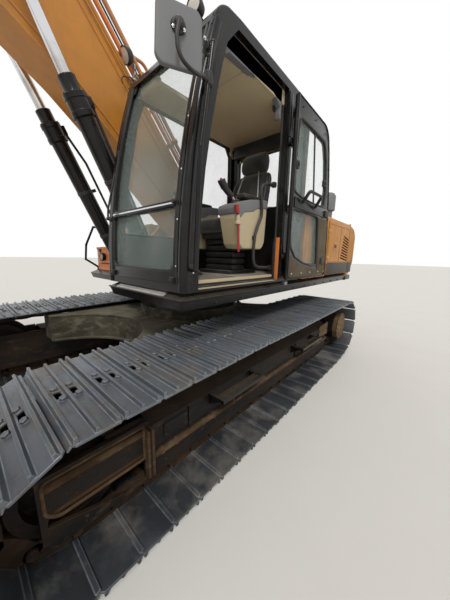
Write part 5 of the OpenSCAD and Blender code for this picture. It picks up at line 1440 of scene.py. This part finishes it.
def between(p, q, y=0):
    """A place at p whose X axis points to q, both in X and Z, and the distance."""
    d = Vector(q) - Vector(p)
    return move(p[0], y, p[1], math.degrees(math.atan2(d.y, d.x))), d.length


def link_line(p, q, rp, rq):
    """Outline of a link with a round end of radius rp at p and rq at q."""
    a = math.degrees(math.atan2(q[1] - p[1], q[0] - p[0]))
    return arc(p[0], p[1], rp, a + 60, a + 300, 16) + arc(q[0], q[1], rq, a - 120, a + 120, 16)


def flange(half, thick):
    """Section of a flange plate with worn corners."""
    return [(2 - half, -thick), (half - 2, -thick), (half, 3 - thick), (half, thick - 3),
            (half - 2, thick), (2 - half, thick), (-half, thick - 3), (-half, 3 - thick)]


def hub(half, r, soft=5, drop=5):
    """Profile of a hub across its pin, chamfered at both ends."""
    return [(-half, r - drop), (soft - half, r), (half - soft, r), (half, r - drop)]


def pin_cap(piece, x, z, y, r, side):
    """Collar, pin end and keeper bolt on the outside of a joint."""
    face = beside(x, y, z, side)
    piece.spin([(0, r * 1.35), (12, r * 1.35), (15, r * 1.28)], face, "yellow", 36)
    piece.spin([(12, r), (22, r * 0.96), (24, r * 0.5), (20, r * 0.45)], face, "engine", 28)
    piece.bolt(beside(x + r * 1.12, y + 13, z, side), 9, 9, "dark")


def cross_pin(piece, foot, half, r):
    """A plain pin through a joint, from side to side."""
    x, z = foot
    piece.bar((x, -half, z), (x, half, z), r, "engine", 28)


BOOM_HALF, FORK_X, FORK_IN, FORK_OUT = 186, BOOM_LEN - 600, 148, 200
belly = [(-110, -135), (40, -170), (700, -20), (1291, 111), (1700, 185), (2080, 212),
         (2600, 190), (FORK_X, -93)]
back = [(-172, 30), (-40, 170), (2200, 950), (2480, 1005), (2720, 985), (2950, 925), (FORK_X, 320)]


def smooth(line, bend):
    """A side outline with its corners rounded along their legs."""
    return [(p.x, p.z) for p in soften(along(line, 0), bend)]


belly, back = smooth(belly, 700), smooth(back, 500)
boom = Piece("boom_box", "boom", "yellow", BOOM)
boom.side(belly + back[::-1], -BOOM_HALF, BOOM_HALF, None, 4, angle=50)
for line, lift in ((belly, -1), (back, 1)):
    boom.pipe(along(line, 0), 1, None, 0, section=flange(201, 9))
    for side in (1, -1):
        boom.pipe([(x, side * (BOOM_HALF + 1), z - lift * 14) for x, z in line[1:-1]], 6, None, 0, 8)
        boom.pipe([(x, side * BOOM_HALF, z - lift * 68) for x, z in line[6:-1]], 9, None, 0, 8)
for side in (1, -1):
    fork = [(FORK_X - 130, -74), (BOOM_LEN - 140, -145)]
    fork += arc(BOOM_LEN, 0, 150, -100, 70, 16) + [(FORK_X - 130, 354)]
    boom.side(fork, side * FORK_IN, side * FORK_OUT, None, 5, angle=50)
    boom.spin([(0, 150), (14, 150), (18, 142)], beside(BOOM_LEN, 198, 0, side), None, 48)
    pin_cap(boom, BOOM_LEN, 0, 214, 58, side)
    for x, z in ((2430, 600), (3700, 420)):
        boom.side(rect(x - 150, z - 70, x + 150, z + 70, 40), side * (BOOM_HALF - 1),
                  side * (BOOM_HALF + 4), None, 2)
boom.spin(hub(216, 175, 8, 7), at(0, 0, 0, "Y"), None, 48)
lift_x = LIFT_REACH * math.cos(math.radians(LIFT_RISE))
lift_z = LIFT_REACH * math.sin(math.radians(LIFT_RISE))
boom.spin(hub(282, 115, 6, 7), at(lift_x, 0, lift_z, "Y"), None, 40)
for side in (1, -1):
    boom.spin([(0, 115), (0, 190), (14, 190), (16, 186), (16, 115)], beside(lift_x, 184, lift_z, side),
              None, 48, closed=False)
    boom.bar((lift_x, side * 282, lift_z), (lift_x, side * 404, lift_z), 39, "engine", 28, 4)
    boom.spin([(0, 62), (10, 62), (12, 58)], beside(lift_x, 395, lift_z, side), None, 32)
    ear = rounded([(2770, 930), (3130, 835), (3095, 1070), (3060, 1150), (2960, 1175), (2900, 1120)],
                  [10, 10, 60, 60, 60, 80])
    boom.side(ear, side * 57, side * 93, None, 4)
    pin_cap(boom, *CROWD_FOOT, 93, 44, side)
cross_pin(boom, CROWD_FOOT, 92, 40)
boom.make("boom")

PIPE_Y = 182


def raised(line, t):
    """An open line moved by t to its left."""
    result = []
    for i, p in enumerate(line):
        a, b = Vector(line[max(i - 1, 0)]), Vector(line[min(i + 1, len(line) - 1)])
        d = (b - a).normalized()
        result.append((p[0] - d.y * t, p[1] + d.x * t))
    return result


# Three oil pipes and a thin line stand over one another along the near edge of the boom's top
PIPE_ROWS = ((34, 19, "yellow"), (98, 20, "orange"), (140, 8, "dark"), (186, 20, "pipe"))
pipes = Piece("boom_oil_pipes", "boom", "pipe", BOOM)
for lift, r, kind in PIPE_ROWS:
    line = raised([(500, 358), (2200, 950), (2480, 1005), (2720, 985)], lift)
    pipes.pipe(along(line, PIPE_Y), r, kind, 220, 16)
    for x, z in (line[0], line[-1]):
        pipes.bar((x - 18, PIPE_Y, z - 6), (x + 18, PIPE_Y, z + 6), r + 9, "engine", 6, 3)
a, b = Vector((-40, 170)), Vector((2200, 950))
for share in (0.35, 0.6, 0.9):
    p = a.lerp(b, share)
    place = move(p.x, 0, p.y, math.degrees(math.atan2((b - a).y, (b - a).x)))
    pipes.box((-18, PIPE_Y - 30, 2), (18, PIPE_Y - 18, 216), "yellow", 4, place)
    for z in (34, 98, 186):
        pipes.box((-24, PIPE_Y - 26, z - 26), (24, PIPE_Y + 25, z + 26), "yellow", 12, place)
        pipes.bolt(place @ at(0, PIPE_Y + 25, z, "Y"), 9, 8, "engine")
pipes.make("boom_pipes")

# Work lamp on a plate that stands on the boom's near edge, with its cable
LAMP = (780, 100, 3278)
lamp = Piece("boom_lamp", "boom", "grey")
work_lamp(lamp, move(*LAMP, -25), 66, 72)
lamp.box((742, 70, 3092), (760, 112, 3230), "silver", 4)
lamp.box((700, 60, 3092), (790, 112, 3104), "silver", 4)
lamp.box((735, 66, 3205), (800, 84, 3240), "silver", 4)
for x, z in ((751, 3130), (751, 3180), (780, 3222)):
    lamp.bolt(at(x, 112, z, "Y"), 9, 9, "engine")
for turn_r, x, z in ((46, 842, 3030), (30, 800, 3060)):
    lamp.pipe(along(arc(x, z, turn_r, -36, 252, 16), 118), 5, "dark", 0, 8)
lamp.make()

# Orange return pipe that curves off the boom's top towards the deck
hose = Piece("return_pipe", "boom", "pipe", BOOM)
hose.pipe([(1500, 92, 740), (1440, 92, 900), (1351, 92, 960), (1267, 92, 1010), (1120, 92, 960),
           (1020, 92, 800), (1000, 92, 545)], 16, "pipe", 90, 14)
hose.make()


def barrel(piece, place, start, length, r, head_r, head_from, eye_r, eye_w, away=26):
    """Cylinder barrel along X: foot eye at the origin, welded base, gland with bolts, ports and hard line."""
    piece.spin(hub(eye_w / 2, eye_r), place @ at(0, 0, 0, "Y"), None, 36)
    piece.box((0, -eye_w / 2 + 4, -r * 0.8), (start + 12, eye_w / 2 - 4, r * 0.8), None, 10, place)
    narrow = head_r * 0.74
    piece.spin([(start - 14, r * 0.8), (start + 6, r), (head_from, r), (head_from + 10, head_r),
                (head_from + 46, head_r), (head_from + 50, head_r - 5), (length - 150, head_r - 5),
                (length - 146, head_r), (length - 112, head_r), (length - 106, narrow + 6),
                (length - 96, narrow), (length - 6, narrow), (length, narrow - 5)], place, None, 40)
    piece.bolt_ring(place @ move(length - 112, 0, 0), 10, head_r - 12, 7, 12, None, 0.5)
    piece.box((head_from + 56, -30, r * 0.8), (head_from + 136, 30, r + 38), None, 6, place)
    piece.box((start + 30, -30, r * 0.8), (start + 100, 30, r + 38), None, 6, place)
    hard = [(start + 120, 0, r + 8), (start + 118, 0, r + 26), (start + 300, 0, r + away),
            (head_from - 200, 0, r + away), (head_from + 60, 0, r + 30)]
    piece.pipe([place @ Vector(p) for p in hard], 12, "dark", 40, 12)
    for share in (0.3, 0.65):
        x = start + (head_from - start) * share
        piece.spin([(-16, r + 4), (16, r + 4)], place @ move(x, 0, 0), "dark", 32)
        piece.box((x - 16, -22, r), (x + 16, 22, r + 42), "dark", 5, place)


def rod(piece, place, reach, back_to, r, eye_r, eye_w):
    """Polished rod along X with its painted eye at reach."""
    piece.bar((back_to, 0, 0), (reach - eye_r + 12, 0, 0), r, "chrome", 40, 3, place)
    piece.spin([(reach - eye_r - 32, r + 10), (reach - eye_r - 26, r + 16),
                (reach - eye_r + 16, eye_r * 0.85)], place, "black", 32)
    piece.spin(hub(eye_w / 2, eye_r), place @ at(reach, 0, 0, "Y"), "black", 36)


LIFT_Y = 338
lift_pin = turn((lift_x, lift_z), BOOM_ANGLE) + Vector((0, BOOM_FOOT_Z))
tubes = Piece("lift_barrel_pair", "lift_barrel", "black")
rods = Piece("lift_rod_pair", "lift_rod", "chrome")
for side in (1, -1):
    place, reach = between(LIFT_FOOT, lift_pin, BOOM_Y + side * LIFT_Y)
    barrel(tubes, place, 60, 1640, 72, 86, 1370, 75, 109, 26 if side > 0 else 84)
    rod(rods, place, reach, reach - 1640, 42, 85, 109)
tubes.make("lift_barrels")
rods.make("lift_rods")

crowd_pin = turn(CROWD_PIN, ARM_REL) + Vector((BOOM_LEN, 0))
place, reach = between(CROWD_FOOT, crowd_pin)
tubes = Piece("arm_barrel_tube", "arm_cylinder", "black", BOOM)
barrel(tubes, place, 140, 2000, 78, 92, 1700, 75, 111)
tubes.make("arm_barrel")
rods = Piece("arm_rod_bar", "arm_cylinder_rod", "chrome", BOOM)
rod(rods, place, reach, reach - 1940, 48, 82, 111)
rods.make("arm_rod")

ARM_HALF = 145
arm_line = [(-860, 60), (-620, -70), (-200, -215), (250, -225), (ARM_LEN - 100, -140), (ARM_LEN + 90, -105),
            (ARM_LEN + 90, 105), (ARM_LEN - 60, 150), (2350, 235), (600, 430), (150, 450), (-350, 345),
            (-700, 260), (-870, 215)]
arm = Piece("arm_box", "arm", "yellow", ARM)
arm.side(rounded(arm_line, [20, 200, 300, 300, 60, 40, 40, 60, 300, 300, 200, 100, 80, 30], 5), -ARM_HALF + 7,
         ARM_HALF - 7, None, 5, angle=50)
for line in (arm_line[1:5], arm_line[7:13]):
    arm.pipe(along(smooth(line, 260), 0), 1, None, 0,
             section=flange(145, 8))
arm.spin(hub(145, 150), at(0, 0, 0, "Y"), None, 48)
arm.spin(hub(145, 140), at(ARM_LEN, 0, 0, "Y"), None, 48)
cross_pin(arm, ROCKER_FOOT, 190, 34)
for side in (1, -1):
    ear = rounded([(60, 430), (430, 418), (350, 560), (320, 615), (280, 640), (215, 640), (160, 590)],
                  [5, 5, 40, 40, 30, 30, 60])
    arm.side(ear, side * 57, side * 93, None, 4)
    pin_cap(arm, *CURL_FOOT, 93, 42, side)
    pin_cap(arm, *CROWD_PIN, 138, 46, side)
    arm.side(rounded([(500, -20), (1100, -20), (1100, 150), (500, 170)], 60), side * 137, side * 142, None, 3)
    arm.spin([(0, 48), (10, 46), (12, 0)], beside(ROCKER_FOOT[0], 178, ROCKER_FOOT[1], side), None, 28)
cross_pin(arm, CURL_FOOT, 92, 40)
arm.make("arm")

link_pin = Vector((ARM_LEN, 0)) + turn((EAR_REACH, 0), BUCKET_REL + EAR_RISE)
rocker_pin = meet(ROCKER_FOOT, link_pin, ROCKER_LEN, LINK_LEN)
place, reach = between(CURL_FOOT, rocker_pin)
tubes = Piece("bucket_barrel_tube", "bucket_cylinder", "black", ARM)
barrel(tubes, place, 155, 1600, 68, 80, 1330, 75, 111)
tubes.make("bucket_barrel")
rods = Piece("bucket_rod_bar", "bucket_cylinder_rod", "chrome", ARM)
rod(rods, place, reach, reach - 1500, 40, 75, 107)
rods.make("bucket_rod")

rocker = Piece("rocker_plates", "rocker", "yellow", ARM)
for side in (1, -1):
    rocker.side(link_line(ROCKER_FOOT, rocker_pin, 80, 74), side * 146, side * 175, None, 5, angle=50)
    pin_cap(rocker, *rocker_pin, 175, 40, side)
    rocker.bar((rocker_pin.x, side * 56, rocker_pin.y),
               (rocker_pin.x, side * 174, rocker_pin.y), 34, "engine", 28)
rocker.make("rocker_links")
link = Piece("bucket_link_box", "link", "yellow", ARM)
place, reach = between(rocker_pin, link_pin)
for side in (1, -1):
    link.side(link_line(rocker_pin, link_pin, 74, 84), side * 56, side * 144, None, 5, angle=50)
link.box((250, -60, -62), (reach - 90, 60, 62), None, 10, place)
cross_pin(link, link_pin, 190, 40)
link.make("bucket_link")

# Bucket: bent shell between two side plates, cutting lip, adapters and teeth
LIP_U, REACH, BUCKET_W = 1260, 1450, 1180
shell = [(LIP_U, 30), (LIP_U + 30, 62)] + arc(480, 330, 430, 62, 205, 26) + [(240, 12)]
inner = raised(shell[::-1], 24)[::-1]
pail = Piece("bucket_shell", "bucket", "bucket", BUCKET)
half = BUCKET_W / 2
ear = turn((EAR_REACH, 0), EAR_RISE)
skin = shell[1:] + inner[1:][::-1]
pail.side(skin, -half + 10, half - 10, None, 3, angle=50)
for side in (1, -1):
    pail.side(shell, side * (half - 24), side * half, None, 4, angle=50)
    pail.side([(LIP_U - 20, 20), (LIP_U + 24, 64), (LIP_U - 240, 320), (500, 60), (470, 12),
               (LIP_U - 120, 12)], side * (half - 4), side * (half + 0.5), None, 2)
    pail.side(arc(0, 0, 90, 180, 300, 8) + [(350, 20), (380, 500)] + arc(*ear, 94, 60, 180, 8), side * 146,
              side * 190, None, 5, angle=50)
    for x, z in ((0, 0), ear):
        pail.spin([(0, 72), (14, 72), (18, 66)], beside(x, 189, z, side), None, 32)
        pail.bolt(beside(x, 206, z, side), 22, 10, "engine")
    pail.side([(700, 12), (LIP_U - 60, 12), (LIP_U + 10, 66), (700, 66)], side * (half - 1),
              side * (half + 1), None, 1)
    pail.pipe([(LIP_U - 30, side * (half - 12), 40), (700, side * (half - 12), 16),
               (300, side * (half - 12), 14)], 13, "shoe", 30, 10)
pail.side([(LIP_U - 180, 36), (LIP_U + 60, 24), (LIP_U + 66, 34), (LIP_U + 30, 66), (LIP_U - 160, 80)],
          -half + 6, half - 6, "shoe", 3)
cross_pin(pail, (0, 0), 190, 40)
for i in range(5):
    y = (i / 4 - 0.5) * (BUCKET_W - 110)
    pail.side([(LIP_U - 90, 88), (LIP_U + 20, 100), (LIP_U + 96, 66), (LIP_U + 96, 10), (LIP_U + 10, 4),
               (LIP_U - 60, 18)], y - 36, y + 36, None, 8)
    pail.side([(LIP_U + 70, 74), (LIP_U + 110, 66), (REACH, 12), (REACH, -4), (LIP_U + 110, 0),
               (LIP_U + 70, 6)], y - 40, y + 40, "shoe", 5)
    pail.bar((LIP_U + 84, y - 44, 38), (LIP_U + 84, y + 44, 38), 11, "engine", 14)
for y in (-420, -210, 0, 210, 420):
    pail.pipe(along(raised(shell[3:24], 5), y), 1, None, 0, section=[(-30, -6), (30, -6), (26, 6), (-26, 6)])
pail.make("bucket")


# ---------- floor, light and size ----------
def stage_plane(name, size, z):
    """A square of the studio, in metres."""
    mesh = bpy.data.meshes.new(name)
    s = size / 2
    mesh.from_pydata([(-s, -s, z), (s, -s, z), (s, s, z), (-s, s, z)], [], [(0, 1, 2, 3)])
    obj = bpy.data.objects.new(name, mesh)
    bpy.context.scene.collection.objects.link(obj)
    return obj


FLOOR_SIZE = 160
floor = stage_plane("floor", FLOOR_SIZE, 0)
ground = Finish("studio_floor", "dcd9d2", 0.9)
ground.layer(ground.noise(2.0, 0.3, 0.8), "cfccc4", 0.9, 0.3)
floor.data.materials.append(ground.done())

# The world looks white and lights the machine a little less than that
WORLD_LIGHT, WORLD_SEEN = 0.62, 1.0
world = bpy.data.worlds.new("studio")
world.use_nodes = True
wn, wl = world.node_tree.nodes, world.node_tree.links
path = wn.new("ShaderNodeLightPath")
seen = path.outputs["Is Camera Ray"]
for ray in ("Is Transmission Ray", "Is Glossy Ray"):
    either = wn.new("ShaderNodeMath")
    either.operation = "MAXIMUM"
    wl.new(seen, either.inputs[0])
    wl.new(path.outputs[ray], either.inputs[1])
    seen = either.outputs[0]
strength = wn.new("ShaderNodeMapRange")
wl.new(seen, strength.inputs["Value"])
strength.inputs["To Min"].default_value, strength.inputs["To Max"].default_value = WORLD_LIGHT, WORLD_SEEN
wl.new(strength.outputs["Result"], wn["Background"].inputs["Strength"])
wn["Background"].inputs["Color"].default_value = (1.0, 1.0, 1.0, 1.0)
bpy.context.scene.world = world


def sun(name, strength, angle, direction):
    """A sun light, angle degrees wide, that shines along direction."""
    data = bpy.data.lights.new(name, "SUN")
    data.energy = strength
    data.angle = math.radians(angle)
    obj = bpy.data.objects.new(name, data)
    obj.rotation_euler = Vector(direction).to_track_quat("-Z", "Y").to_euler()
    bpy.context.scene.collection.objects.link(obj)


sun("key", 1.7, 14, (-0.45, -0.5, -0.75))
bpy.context.scene.view_settings.view_transform = "Standard"

bpy.context.view_layer.update()
